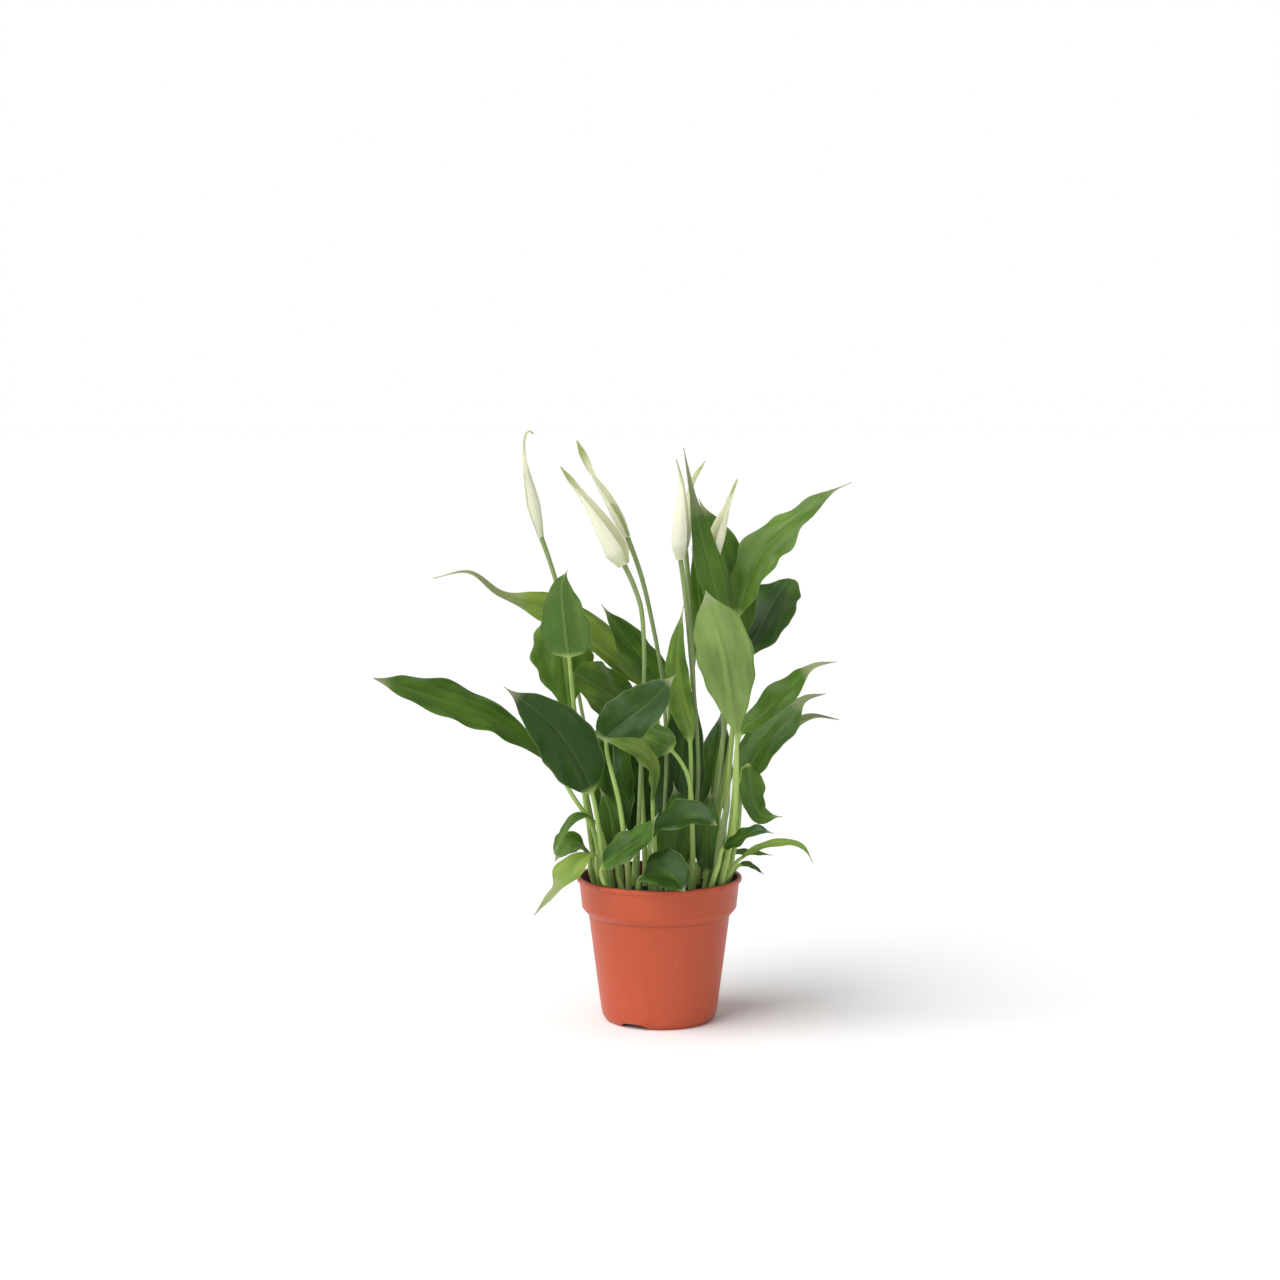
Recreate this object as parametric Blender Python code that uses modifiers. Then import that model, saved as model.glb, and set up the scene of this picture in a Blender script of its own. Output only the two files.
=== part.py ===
"""A peace lily in a round plastic nursery pot.

The pot is one turned shell with a rim band, three arched notches in its foot ring and drain holes.
A peat soil body fills it, with a socket around every stalk. Each leaf is one grown piece, stalk and
blade together. Each flower is a stem, a rolled spathe and the spadix inside it.

Frame: origin on the pot's axis at the level it stands on, +Z up, the plant's front towards -Y.
"""
import math

import bmesh
import bpy
from mathutils import Vector

MM = 0.001
GAP = 0.3  # clearance between pieces that touch, mm

# Pot, mm
POT_HEIGHT = 105.0
RIM_RADIUS = 60.0
BAND_RADIUS = 57.0
BAND_FOOT_Z = 83.0
STEP_RADIUS = 51.3
STEP_Z = 77.0
BASE_RADIUS = 42.5
CORNER_Z = 9.0
FOOT_RADIUS = 38.0
FOOT_INNER_RADIUS = 35.5
FLOOR_Z = 4.5
WALL = 1.2
HUB_RADIUS = 10.0
RIM_ROUNDING = 1.2
POT_SIDES = 44
NOTCH_COUNT = 3
NOTCH_WIDTH = 23.0
NOTCH_HEIGHT = 3.8
NOTCH_SPRING_Z = 1.2  # where a notch's straight sides turn into its arch
NOTCH_ARCH_STEPS = 6
NOTCH_OVERRUN = 6.0
NOTCH_FIRST_ANGLE = math.radians(-118)
HOLE_COUNT = 8
HOLE_RADIUS = 3.5
HOLE_CIRCLE = 26.0
HOLE_SIDES = 12

# Soil and the sockets that the stalks stand in, mm
SOIL_TOP = 95.0
SOCKET_DEPTH = 6.0
SOCKET_SIDES = 8
SOCKET_CLEARANCE = GAP + 0.1
STALK_BOTTOM_Z = SOIL_TOP - SOCKET_DEPTH + GAP
STALK_FOOT_Z = SOIL_TOP + 1.5  # a stalk stands upright from its bottom to here

# Leaves, mm
STALK_FOOT_RADIUS = 2.2
STALK_TOP_RADIUS = 1.4
BLADE_THICKNESS = 1.0
TIP_HALF_WIDTH = 0.5
BLEND_END = 0.2  # where along the blade its section has changed from round to flat
TAIL_NARROWING = 0.6
TAIL_BLEND = 0.09
STALK_RINGS = 3
BLADE_RINGS = 12
RING_POINTS = 8
SPLINE_STEPS = 16

# Blade outlines: fullness near the stalk (lower is rounder), taper towards the tip (higher is
# finer), where the narrow drawn-out tip begins, and the slope of the halves up from the midrib.
OVAL = (0.7, 1.15, 0.88, 0.16)
HEART = (0.5, 0.95, 0.88, 0.16)
KITE = (1.15, 0.85, 0.92, 0.16)
WEDGE = (1.4, 0.9, 1.2, 0.16)
ROUND = (0.6, 0.55, 1.2, 0.12)
TAILED = (0.7, 1.0, 0.72, 0.2)
RIBBON = (0.8, 1.45, 0.62, 0.2)
LANCE = (0.95, 1.6, 0.86, 0.18)
SPADE = (0.42, 1.2, 0.92, 0.12)
STRAP = (0.8, 1.0, 0.55, 0.25)
FOLDED = (0.6, 0.8, 0.94, 0.7)

# Flowers, mm
STEM_RADIUS = 1.9
SPADIX_RADIUS = 1.3
SPADIX_BELLY = 2.1
SPADIX_PORTIONS = (0.0, 0.06, 0.14, 0.24, 0.32, 0.36)  # of the spathe's length
SPADIX_RADII = (SPADIX_RADIUS, SPADIX_RADIUS, SPADIX_BELLY, SPADIX_BELLY, SPADIX_RADIUS, 0.5)
SPATHE_THICKNESS = 0.5
SPATHE_COLUMNS = 6
SPATHE_ROWS = 10
SPATHE_WRAP = math.radians(155)  # how far the sheet reaches round to each side at its base
SPATHE_OPENING = math.radians(75)  # how much less it reaches at its tip
STEM_STEPS = 10

GREEN_UPPER = (0.045, 0.14, 0.025, 1.0)
GREEN_STEM = (0.16, 0.30, 0.07, 1.0)
CREAM = (0.80, 0.82, 0.62, 1.0)
SPADIX_GREEN = (0.62, 0.66, 0.38, 1.0)
TERRACOTTA = (0.56, 0.11, 0.06, 1.0)
PEAT = (0.02, 0.012, 0.008, 1.0)

# One row a leaf, mm: name, where it stands on the soil (x, y), stalk points (x, y, z), blade points
# from the stalk's end to the tip, half width, the way the blade's upper face looks, and its outline.
LEAVES = (
    ("leaf_01", (-42, -14), [(-47, -18, 140), (-62, -24, 167)],
     [(-76, -30, 190), (-115, -42, 223), (-154, -54, 240), (-199, -70, 257)], 20, (0.1, -0.55, 0.8), KITE),
    ("leaf_02", (-38, -26), [(-42, -34, 135)],
     [(-48, -44, 172), (-60, -60, 202), (-80, -78, 230), (-107, -96, 254)], 21, (-0.2, -0.9, 0.5), OVAL),
    ("leaf_03", (-47, 2), [(-55, -12, 175), (-61, -26, 232)],
     [(-64, -38, 268), (-66, -44, 285), (-68, -52, 306), (-68, -61, 322), (-64, -70, 332)], 18,
     (0.1, 0.8, 0.6), SPADE),
    ("leaf_04", (-44, 14), [(-54, 4, 170)],
     [(-64, -6, 222), (-67, -6, 241), (-69, -6, 259), (-71, -6, 277), (-73, -4, 299)], 22,
     (0.0, -0.9, 0.4), WEDGE),
    ("leaf_05", (2, 30), [(0, 32, 185)],
     [(-6, 32, 234), (-43, 30, 272), (-80, 26, 295), (-116, 18, 309), (-137, 10, 325), (-163, 4, 321)],
     19, (0.3, -0.6, 0.7), RIBBON),
    ("leaf_06", (10, 14), [(7, 14, 180)],
     [(6, 14, 236), (-10, 14, 258), (-27, 12, 280), (-42, 8, 302)], 16, (0.5, -0.7, 0.5), OVAL),
    ("leaf_07", (-10, 4), [(-13, 10, 170)],
     [(-15, 13, 218), (-30, 1, 233), (-45, -14, 245), (-61, -27, 255)], 20, (0.2, -0.85, 0.5), ROUND),
    ("leaf_08", (-22, -32), [(-28, -36, 160)],
     [(-38, -39, 208), (-25, -42, 223), (-8, -45, 237), (11, -50, 257)], 18, (-0.2, -0.95, 0.3), HEART),
    ("leaf_09", (-2, -24), [(-4, -28, 140)],
     [(-5, -31, 163), (-5, -37, 189), (-14, -54, 204), (-27, -68, 211), (-44, -76, 217)], 9,
     (0.3, -0.85, 0.4), OVAL),
    ("leaf_10", (24, -22), [(23, -24, 160), (20, -24, 182)],
     [(9, -20, 199), (-6, -8, 205), (-20, 2, 206), (-36, 16, 199)], 14, (0.1, -0.85, 0.5), HEART),
    ("leaf_11", (44, -28), [(53, -40, 150)],
     [(54, -50, 212), (50, -60, 240), (44, -74, 276), (31, -84, 319)], 20, (0.1, 0.9, 0.3), KITE),
    ("leaf_12", (45, 0), [(52, 2, 200)],
     [(53, 2, 248), (44, 0, 298), (33, -2, 338), (24, -6, 378), (17, -10, 415)], 11, (0.4, -0.8, 0.3),
     TAILED),
    ("leaf_13", (36, 22), [(50, 26, 225)],
     [(56, 28, 272), (52, 32, 311), (43, 38, 344), (29, 46, 377)], 19, (-0.1, -0.9, 0.3), OVAL),
    ("leaf_14", (46, 12), [(54, 14, 220)],
     [(57, 14, 291), (64, 16, 316), (76, 20, 340), (100, 24, 363), (123, 28, 381), (140, 32, 389)],
     18, (-0.4, -0.7, 0.6), LANCE),
    ("leaf_15", (40, 30), [(54, 26, 210)],
     [(60, 26, 260), (72, 38, 279), (84, 54, 298), (97, 72, 316)], 23, (-0.5, -0.8, 0.3), ROUND),
    ("leaf_16", (48, -14), [(53, -22, 165)],
     [(57, -22, 210), (75, -28, 228), (96, -36, 250), (108, -42, 262), (124, -47, 266)], 13,
     (-0.4, -0.6, 0.7), TAILED),
    ("leaf_17", (50, -4), [(57, -5, 140)],
     [(60, -6, 172), (73, -2, 199), (91, 4, 220), (106, 10, 233), (121, 15, 236)], 17,
     (-0.4, -0.7, 0.6), TAILED),
    ("leaf_18", (42, 20), [(55, 24, 140)],
     [(63, 26, 177), (80, 34, 198), (98, 42, 208), (114, 48, 215), (134, 54, 212)], 14,
     (-0.4, -0.6, 0.7), STRAP),
    ("leaf_19", (44, -8), [(55, -12, 150), (60, -14, 186)],
     [(63, -15, 189), (65, -17, 177), (67, -18, 162), (73, -18, 152), (88, -18, 151)], 11,
     (0.4, -0.8, 0.3), OVAL),
    ("leaf_20", (36, -34), [(42, -39, 121)],
     [(45, -42, 133), (57, -53, 142), (68, -59, 148), (80, -64, 147)], 8, (-0.3, -0.5, 0.8), OVAL),
    ("leaf_21", (44, -20), [(51, -22, 112)],
     [(57, -24, 121), (74, -28, 132), (93, -32, 135), (103, -35, 131), (109, -36, 121)], 5,
     (-0.1, -0.4, 0.9), OVAL),
    ("leaf_22", (34, 36), [(42, 37, 111)],
     [(52, 38, 115), (67, 40, 115), (84, 42, 112)], 4, (-0.1, -0.5, 0.9), OVAL),
    ("leaf_23", (50, 6), [(54, 10, 106)],
     [(59, 14, 110), (67, 18, 109), (77, 20, 102)], 4, (0.1, -0.4, 0.9), OVAL),
    ("leaf_24", (-6, -36), [(-7, -40, 125)],
     [(-5, -44, 142), (11, -52, 153), (26, -60, 157), (40, -66, 153)], 14, (0.1, -0.6, 0.8), FOLDED),
    ("leaf_25", (-14, -42), [(-15, -46, 107)],
     [(-12, -50, 114), (-2, -58, 117), (8, -65, 116), (17, -72, 107)], 17, (0.1, -0.7, 0.7), FOLDED),
    ("leaf_26", (-34, -36), [(-40, -42, 109)],
     [(-41, -45, 119), (-27, -52, 132), (-12, -58, 144), (-1, -63, 161)], 13, (-0.4, -0.6, 0.6), OVAL),
    ("leaf_27", (-42, -22), [(-45, -31, 118)],
     [(-46, -38, 127), (-57, -48, 125), (-69, -58, 111), (-88, -70, 90)], 12, (-0.2, -0.4, 0.9), STRAP),
    ("leaf_28", (-47, -6), [(-50, -9, 112)],
     [(-51, -11, 123), (-58, -15, 131), (-66, -20, 132), (-75, -26, 120)], 13, (-0.2, -0.6, 0.8), HEART),
    ("leaf_29", (-34, -14), [(-39, -22, 130)],
     [(-45, -28, 148), (-55, -35, 155), (-66, -42, 148), (-75, -46, 129)], 5, (-0.1, -0.4, 0.9), OVAL),
    ("leaf_30", (-28, -4), [(-30, 4, 118)],
     [(-31, 8, 133), (-33, 16, 165), (-34, 28, 196), (-32, 44, 220)], 15, (0.1, -0.9, 0.4), OVAL),
    ("leaf_31", (-18, 12), [(-18, 20, 110)],
     [(-15, 30, 124), (-14, 42, 154), (-9, 52, 190), (-5, 64, 226)], 17, (0.1, -0.9, 0.4), OVAL),
    ("leaf_32", (14, -2), [(13, 1, 112)],
     [(13, 3, 122), (13, 5, 152), (16, 8, 186), (19, 10, 222), (21, 11, 254)], 18, (0.0, -0.95, 0.2),
     OVAL),
    ("leaf_33", (28, 12), [(30, 23, 116)],
     [(34, 34, 136), (39, 44, 166), (44, 54, 196), (47, 66, 218)], 15, (-0.1, -0.9, 0.4), OVAL),
    ("leaf_34", (-27, -18), [(-30, -15, 108)],
     [(-31, -14, 118), (-34, -8, 138), (-37, -5, 155), (-43, -4, 170)], 11, (0.2, -0.9, 0.3), OVAL),
    ("leaf_35", (6, -14), [(8, -16, 104)],
     [(9, -17, 110), (11, -17, 134), (13, -17, 156), (10, -18, 176)], 14, (0.0, -0.95, 0.3), OVAL),
    ("leaf_36", (32, -20), [(33, -19, 104)],
     [(34, -19, 110), (34, -17, 134), (35, -14, 154), (37, -12, 172)], 10, (0.0, -0.95, 0.3), OVAL),
    ("leaf_37", (-28, 28), [(-36, 40, 140)],
     [(-42, 52, 164), (-52, 78, 186), (-60, 104, 196), (-68, 128, 192)], 18, (0.2, -0.3, 0.9), OVAL),
    ("leaf_38", (14, 40), [(17, 44, 150), (20, 45, 215)],
     [(26, 46, 257), (30, 46, 280), (29, 46, 306), (24, 46, 342)], 7, (0.0, -0.95, 0.2), OVAL),
    ("leaf_39", (23, -15), [(22, -16, 150)],
     [(22, -16, 204), (15, -16, 236), (12, -16, 268), (17, -15, 303)], 9, (-0.3, -0.9, 0.2), OVAL),
)

# The young leaf is still a rolled spear: its place on the soil, then points and radii up to its tip.
SPEAR_ROOT = (38, -24)
SPEAR_POINTS = ((42, -27, 130), (46, -29, 150), (49, -31, 168), (50, -31, 182))
SPEAR_RADII = (2.0, 2.6, 2.2, 0.5)

# One row a flower, mm: name, place on the soil, stem points, spathe points from base to tip, the
# rolled spathe's radius at even steps from base to tip, and the way its open side looks.
FLOWERS = (
    ("flower_1", (-36, 24), [(-50, 42, 180), (-63, 49, 250), (-75, 51, 311), (-82, 52, 334)],
     [(-87, 52, 348), (-93, 52, 376), (-99, 52, 405), (-99, 52, 421), (-96, 52, 426), (-92, 52, 424)],
     (2.4, 4.0, 4.8, 3.8, 2.5, 1.6, 1.0, 0.7), (-1, -0.4, 0)),
    ("flower_2", (-16, -14), [(-13, -22, 200), (-11, -22, 262), (-13, -22, 300), (-19, -22, 319)],
     [(-25, -22, 332), (-37, -22, 354), (-52, -23, 378), (-70, -24, 402)],
     (4.6, 8.6, 7.6, 6.4, 5.0, 3.6, 2.6, 2.2, 0.7), (0.8, -0.6, 0.2)),
    ("flower_3", (2, -6), [(5, -2, 190), (2, -2, 248), (-7, -3, 298), (-14, -4, 326)],
     [(-23, -4, 351), (-35, -4, 375), (-48, -4, 396), (-59, -4, 420)],
     (2.6, 4.0, 4.2, 3.5, 2.8, 1.5, 2.4, 2.4, 0.7), (0.5, -0.8, 0)),
    ("flower_4", (22, -8), [(28, -8, 183), (22, -9, 270), (18, -10, 312)],
     [(15, -10, 335), (15, -10, 362), (16, -10, 390), (12, -10, 407)],
     (3.6, 6.0, 6.2, 5.6, 4.8, 3.5, 2.0, 1.0, 0.7), (1, -0.3, 0)),
    ("flower_5", (20, 16), [(26, 20, 200), (22, 24, 305)],
     [(19, 24, 342), (20, 24, 366), (24, 24, 390), (33, 24, 405)],
     (2.6, 4.0, 4.4, 3.8, 3.0, 2.0, 2.2, 1.8, 0.7), (-1, -0.3, 0)),
    ("flower_6", (34, -10), [(46, 4, 200), (44, 11, 290)],
     [(41, 12, 334), (42, 12, 351), (48, 12, 370), (56, 12, 392)],
     (2.6, 4.4, 5.6, 5.2, 3.9, 2.6, 1.7, 1.1, 0.7), (-0.6, -0.8, 0)),
)


def clear_scene():
    for old in list(bpy.data.objects):
        bpy.data.objects.remove(old, do_unlink=True)


def collection(name):
    made = bpy.data.collections.new(name)
    bpy.context.scene.collection.children.link(made)
    return made


def material(name, color, roughness):
    made = bpy.data.materials.new(name)
    made.use_nodes = True
    shader = made.node_tree.nodes["Principled BSDF"]
    shader.inputs["Base Color"].default_value = color
    shader.inputs["Roughness"].default_value = roughness
    shader.inputs["Metallic"].default_value = 0.0
    return made


def add_object(name, mesh, group, look):
    made = bpy.data.objects.new(name, mesh)
    group.objects.link(made)
    if look:
        mesh.materials.append(look)
    return made


def smooth(mesh, degrees=40):
    mesh.shade_smooth()
    mesh.set_sharp_from_angle(angle=math.radians(degrees))


def turned(name, outline, group, look):
    """A solid of revolution from an (r, z) outline in mm, listed from the axis on top, down outside."""
    mesh = bpy.data.meshes.new(name)
    points = [(r * MM, 0.0, z * MM) for r, z in outline]
    mesh.from_pydata(points, [(i, i + 1) for i in range(len(points) - 1)], [])
    made = add_object(name, mesh, group, look)
    screw = made.modifiers.new("turn", "SCREW")
    screw.angle = 2 * math.pi
    screw.steps = POT_SIDES
    screw.render_steps = POT_SIDES
    screw.use_merge_vertices = True
    screw.merge_threshold = 0.00002
    return made


def cut(target, cutter):
    cutter.hide_render = True
    cutter.display_type = "WIRE"
    boolean = target.modifiers.new("cut", "BOOLEAN")
    boolean.operation = "DIFFERENCE"
    boolean.solver = "EXACT"
    boolean.object = cutter


def pot_wall():
    """The pot's outside from rim to foot, (r, z) in mm."""
    corner = POT_HEIGHT - RIM_ROUNDING
    return [
        (RIM_RADIUS - 0.8, POT_HEIGHT),
        (RIM_RADIUS, corner),
        (RIM_RADIUS - 0.2, corner - 1.8),
        (BAND_RADIUS + 1.0, corner - 3.0),
        (BAND_RADIUS - 0.8, BAND_FOOT_Z),
        (BAND_RADIUS - 2.0, BAND_FOOT_Z - 1.8),
        (STEP_RADIUS, STEP_Z),
        (BASE_RADIUS, CORNER_Z),
        (BASE_RADIUS - 1.0, CORNER_Z * 0.45),
        (FOOT_RADIUS + 1.4, 0.8),
        (FOOT_RADIUS, 0.0),
    ]


def pot_outline():
    """Closed half section of the pot: inner floor, up inside, over the rim, down outside, underside."""
    inside = [
        (0.0, WALL),
        (HUB_RADIUS - 1.2, WALL),
        (HUB_RADIUS + 1.0, FLOOR_Z + WALL),
        (FOOT_RADIUS - 1.0, FLOOR_Z + WALL),
        (BASE_RADIUS - WALL, CORNER_Z + 1.5),
        (STEP_RADIUS - WALL, STEP_Z + 0.4),
        (BAND_RADIUS - 2.0 - WALL, BAND_FOOT_Z - 1.2),
        (BAND_RADIUS - WALL - 0.4, BAND_FOOT_Z + 1.0),
        (BAND_RADIUS - WALL + 1.0, POT_HEIGHT),
    ]
    underside = [
        (FOOT_INNER_RADIUS, 0.0),
        (FOOT_INNER_RADIUS - 1.0, FLOOR_Z),
        (HUB_RADIUS + 0.8, FLOOR_Z),
        (HUB_RADIUS, 0.0),
        (0.0, 0.0),
    ]
    return inside + pot_wall() + underside


def notch_cutter(group):
    """Three arched tunnels through the foot ring, joined in one cutter."""
    shape = bmesh.new()
    half = NOTCH_WIDTH / 2
    arch = [(-half, -2.0), (half, -2.0)]
    for portion in even_steps(NOTCH_ARCH_STEPS):
        turn = math.pi * portion
        z = NOTCH_SPRING_Z + (NOTCH_HEIGHT - NOTCH_SPRING_Z) * math.sin(turn)
        arch.append((half * 0.92 * math.cos(turn), z))
    for number in range(NOTCH_COUNT):
        angle = NOTCH_FIRST_ANGLE + 2 * math.pi * number / NOTCH_COUNT
        out = Vector((math.cos(angle), math.sin(angle), 0.0))
        across = Vector((-out.y, out.x, 0.0))
        ends = []
        for reach in (FOOT_INNER_RADIUS - NOTCH_OVERRUN, BASE_RADIUS + NOTCH_OVERRUN):
            ends.append([
                shape.verts.new((out * reach + across * x + Vector((0, 0, z))) * MM) for x, z in arch
            ])
        shape.faces.new(ends[0])
        shape.faces.new(ends[1])
        for i in range(len(arch)):
            j = (i + 1) % len(arch)
            shape.faces.new((ends[0][i], ends[0][j], ends[1][j], ends[1][i]))
    bmesh.ops.recalc_face_normals(shape, faces=shape.faces)
    mesh = bpy.data.meshes.new("notches")
    shape.to_mesh(mesh)
    shape.free()
    return add_object("notches", mesh, group, None)


def upright_pins(name, places, radius, bottom, top, sides, group):
    """One mesh of upright round cutters at (x, y) places in mm."""
    shape = bmesh.new()
    for x, y in places:
        made = bmesh.ops.create_cone(
            shape, cap_ends=True, segments=sides, radius1=radius * MM, radius2=radius * MM,
            depth=(top - bottom) * MM)
        middle = Vector((x, y, (top + bottom) / 2)) * MM
        bmesh.ops.translate(shape, verts=made["verts"], vec=middle)
    mesh = bpy.data.meshes.new(name)
    shape.to_mesh(mesh)
    shape.free()
    return add_object(name, mesh, group, None)


def make_pot(group, cutters, look):
    pot = turned("pot", pot_outline(), group, look)
    cut(pot, notch_cutter(cutters))
    holes = []
    for number in range(HOLE_COUNT):
        angle = 2 * math.pi * (number + 0.5) / HOLE_COUNT
        holes.append((HOLE_CIRCLE * math.cos(angle), HOLE_CIRCLE * math.sin(angle)))
    cut(pot, upright_pins("drain_holes", holes, HOLE_RADIUS, FLOOR_Z - WALL, FLOOR_Z + 3 * WALL,
                          HOLE_SIDES, cutters))


def make_soil(group, cutters, look, places):
    """Peat filling the pot, a gap from its walls, with a socket for each stalk and stem."""
    gap = GAP + 0.1
    inset = WALL + gap
    top_radius = BAND_RADIUS - inset + 0.4
    outline = [
        (0.0, SOIL_TOP + 0.8),
        (top_radius * 0.55, SOIL_TOP + 0.6),
        (top_radius * 0.9, SOIL_TOP),
        (top_radius - 0.2, SOIL_TOP - 1.0),
        (BAND_RADIUS - inset - 0.5, BAND_FOOT_Z + 1.5),
        (BAND_RADIUS - 2.2 - inset, BAND_FOOT_Z - 0.8),
        (STEP_RADIUS - inset - 0.1, STEP_Z + 1.0),
        (BASE_RADIUS - inset - 0.2, CORNER_Z + 2.0),
        (FOOT_RADIUS - 1.4, FLOOR_Z + WALL + gap),
        (0.0, FLOOR_Z + WALL + gap),
    ]
    soil = turned("soil", outline, group, look)
    radius = STALK_FOOT_RADIUS + SOCKET_CLEARANCE
    cut(soil, upright_pins("sockets", places, radius, SOIL_TOP - SOCKET_DEPTH, SOIL_TOP + 4,
                           SOCKET_SIDES, cutters))


def spline(points, start_tangent=None):
    """A smooth curve through the points, as a close-spaced list of vectors."""
    nodes = [Vector(p) for p in points]
    first = nodes[0] * 2 - nodes[1]
    if start_tangent:
        first = nodes[1] - Vector(start_tangent) * 2 * (nodes[1] - nodes[0]).length
    nodes = [first] + nodes + [nodes[-1] * 2 - nodes[-2]]
    samples = []
    for i in range(1, len(nodes) - 2):
        before, a, b, after = nodes[i - 1:i + 3]
        leave = (b - before) * 0.5
        arrive = (after - a) * 0.5
        span = (b - a).length
        leave *= min(1.0, span / max(leave.length, 1e-9))
        arrive *= min(1.0, span / max(arrive.length, 1e-9))
        for k in range(SPLINE_STEPS):
            t = k / SPLINE_STEPS
            samples.append(
                a * (2 * t**3 - 3 * t**2 + 1) + leave * (t**3 - 2 * t**2 + t)
                + b * (3 * t**2 - 2 * t**3) + arrive * (t**3 - t**2))
    samples.append(nodes[-2])
    return samples


def along(samples, portions):
    """Points and tangents at these portions, 0 to 1, of a sampled curve's length."""
    reach = [0.0]
    for a, b in zip(samples, samples[1:]):
        reach.append(reach[-1] + (b - a).length)
    found = []
    for portion in portions:
        want = portion * reach[-1]
        i = 1
        while i < len(reach) - 1 and reach[i] < want:
            i += 1
        part = (want - reach[i - 1]) / max(reach[i] - reach[i - 1], 1e-9)
        point = samples[i - 1].lerp(samples[i], part)
        ahead = samples[min(i + 1, len(samples) - 1)] - samples[max(i - 2, 0)]
        found.append((point, ahead.normalized()))
    return found


def carried_normals(tangents, facing, middle):
    """The facing direction carried along the curve both ways from its middle without twisting."""
    normals = [None] * len(tangents)
    current = Vector(facing)
    for i in range(middle, len(tangents)):
        current = (current - tangents[i] * current.dot(tangents[i])).normalized()
        normals[i] = current
    current = normals[middle]
    for i in range(middle - 1, -1, -1):
        current = (current - tangents[i] * current.dot(tangents[i])).normalized()
        normals[i] = current
    return normals


def smooth_step(value, low, high):
    """0 below low, 1 above high, and an even curve between them."""
    t = min(max((value - low) / (high - low), 0.0), 1.0)
    return t * t * (3 - 2 * t)


def blade_shape(t, outline):
    """Share of a blade's half width at t, 0 at the stalk to 1 at the tip."""
    fullness, taper, tail, _ = outline
    widest = fullness / (fullness + taper)
    full = widest**fullness * (1 - widest) ** taper
    narrowed = TAIL_NARROWING * smooth_step(t, tail - TAIL_BLEND, tail + TAIL_BLEND)
    return t**fullness * (1 - t) ** taper / full * (1 - narrowed)


def even_steps(count):
    """0 to 1 in this many equal steps, both ends included."""
    return [step / count for step in range(count + 1)]


def leaf_rows(root, stalk, blade):
    """Points and tangents up a leaf: (point, tangent, place along the blade, place up the stalk)."""
    up = Vector((0, 0, 1))
    bottom = Vector((root[0], root[1], STALK_BOTTOM_Z))
    foot = Vector((root[0], root[1], STALK_FOOT_Z))
    line = spline([foot] + [Vector(p) for p in stalk + blade], up)
    joint = SPLINE_STEPS * (len(stalk) + 1)
    rows = [(bottom, up, 0.0, 0.0), (foot, up, 0.0, 0.0)]
    heights = even_steps(STALK_RINGS)[1:-1]
    for height, (point, tangent) in zip(heights, along(line[:joint + 1], heights)):
        rows.append((point, tangent, 0.0, height))
    portions = even_steps(BLADE_RINGS)
    for portion, (point, tangent) in zip(portions, along(line[joint:], portions)):
        rows.append((point, tangent, portion, 1.0))
    return rows


def leaf_rings(root, stalk, blade, half_width, facing, outline):
    """Rings of points, round along the stalk and a thin folded lens along the blade."""
    rows = leaf_rows(root, stalk, blade)
    middle = len(rows) - BLADE_RINGS // 2 - 1
    normals = carried_normals([row[1] for row in rows], facing, middle)
    rings = []
    for (point, tangent, t, height), normal in zip(rows, normals):
        side = tangent.cross(normal)
        radius = STALK_FOOT_RADIUS + (STALK_TOP_RADIUS - STALK_FOOT_RADIUS) * height
        flat = min(t / BLEND_END, 1.0)
        across = max(half_width * blade_shape(t, outline), radius * (1 - t), TIP_HALF_WIDTH)
        thick = radius * (1 - flat) + BLADE_THICKNESS / 2 * flat
        fold = outline[3] * flat
        ring = []
        for k in range(RING_POINTS):
            turn = 2 * math.pi * k / RING_POINTS
            x = across * math.cos(turn)
            y = thick * math.sin(turn) + fold * abs(x)
            ring.append(point + side * x + normal * y)
        rings.append(ring)
    return rings


def loft(name, rings, group, look):
    """A closed skin over rings that have the same number of points."""
    shape = bmesh.new()
    rows = [[shape.verts.new(p * MM) for p in ring] for ring in rings]
    count = len(rows[0])
    for a, b in zip(rows, rows[1:]):
        for i in range(count):
            j = (i + 1) % count
            shape.faces.new((a[i], a[j], b[j], b[i]))
    shape.faces.new(rows[0])
    shape.faces.new(rows[-1])
    bmesh.ops.recalc_face_normals(shape, faces=shape.faces)
    mesh = bpy.data.meshes.new(name)
    shape.to_mesh(mesh)
    shape.free()
    smooth(mesh)
    return add_object(name, mesh, group, look)


def make_leaf(row, group, look):
    name, *shape = row
    loft(name, leaf_rings(*shape), group, look)


def tube(name, points, radii, group, look):
    """A round rod along points in mm, with a radius at each."""
    curve = bpy.data.curves.new(name, "CURVE")
    curve.dimensions = "3D"
    curve.bevel_depth = MM
    curve.bevel_resolution = 2
    curve.use_fill_caps = True
    line = curve.splines.new("POLY")
    line.points.add(len(points) - 1)
    for spot, point, radius in zip(line.points, points, radii):
        spot.co = (*(Vector(point) * MM), 1.0)
        spot.radius = radius
    made = bpy.data.objects.new(name, curve)
    group.objects.link(made)
    curve.materials.append(look)
    return made


def make_stem(name, root, stem, base, group, look):
    foot = Vector((root[0], root[1], STALK_FOOT_Z))
    line = spline([foot] + [Vector(p) for p in stem] + [base], (0, 0, 1))
    places = [point for point, _ in along(line, even_steps(STEM_STEPS))]
    places.insert(0, Vector((root[0], root[1], STALK_BOTTOM_Z)))
    tube(name, places, [STEM_RADIUS] * len(places), group, look)


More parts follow.
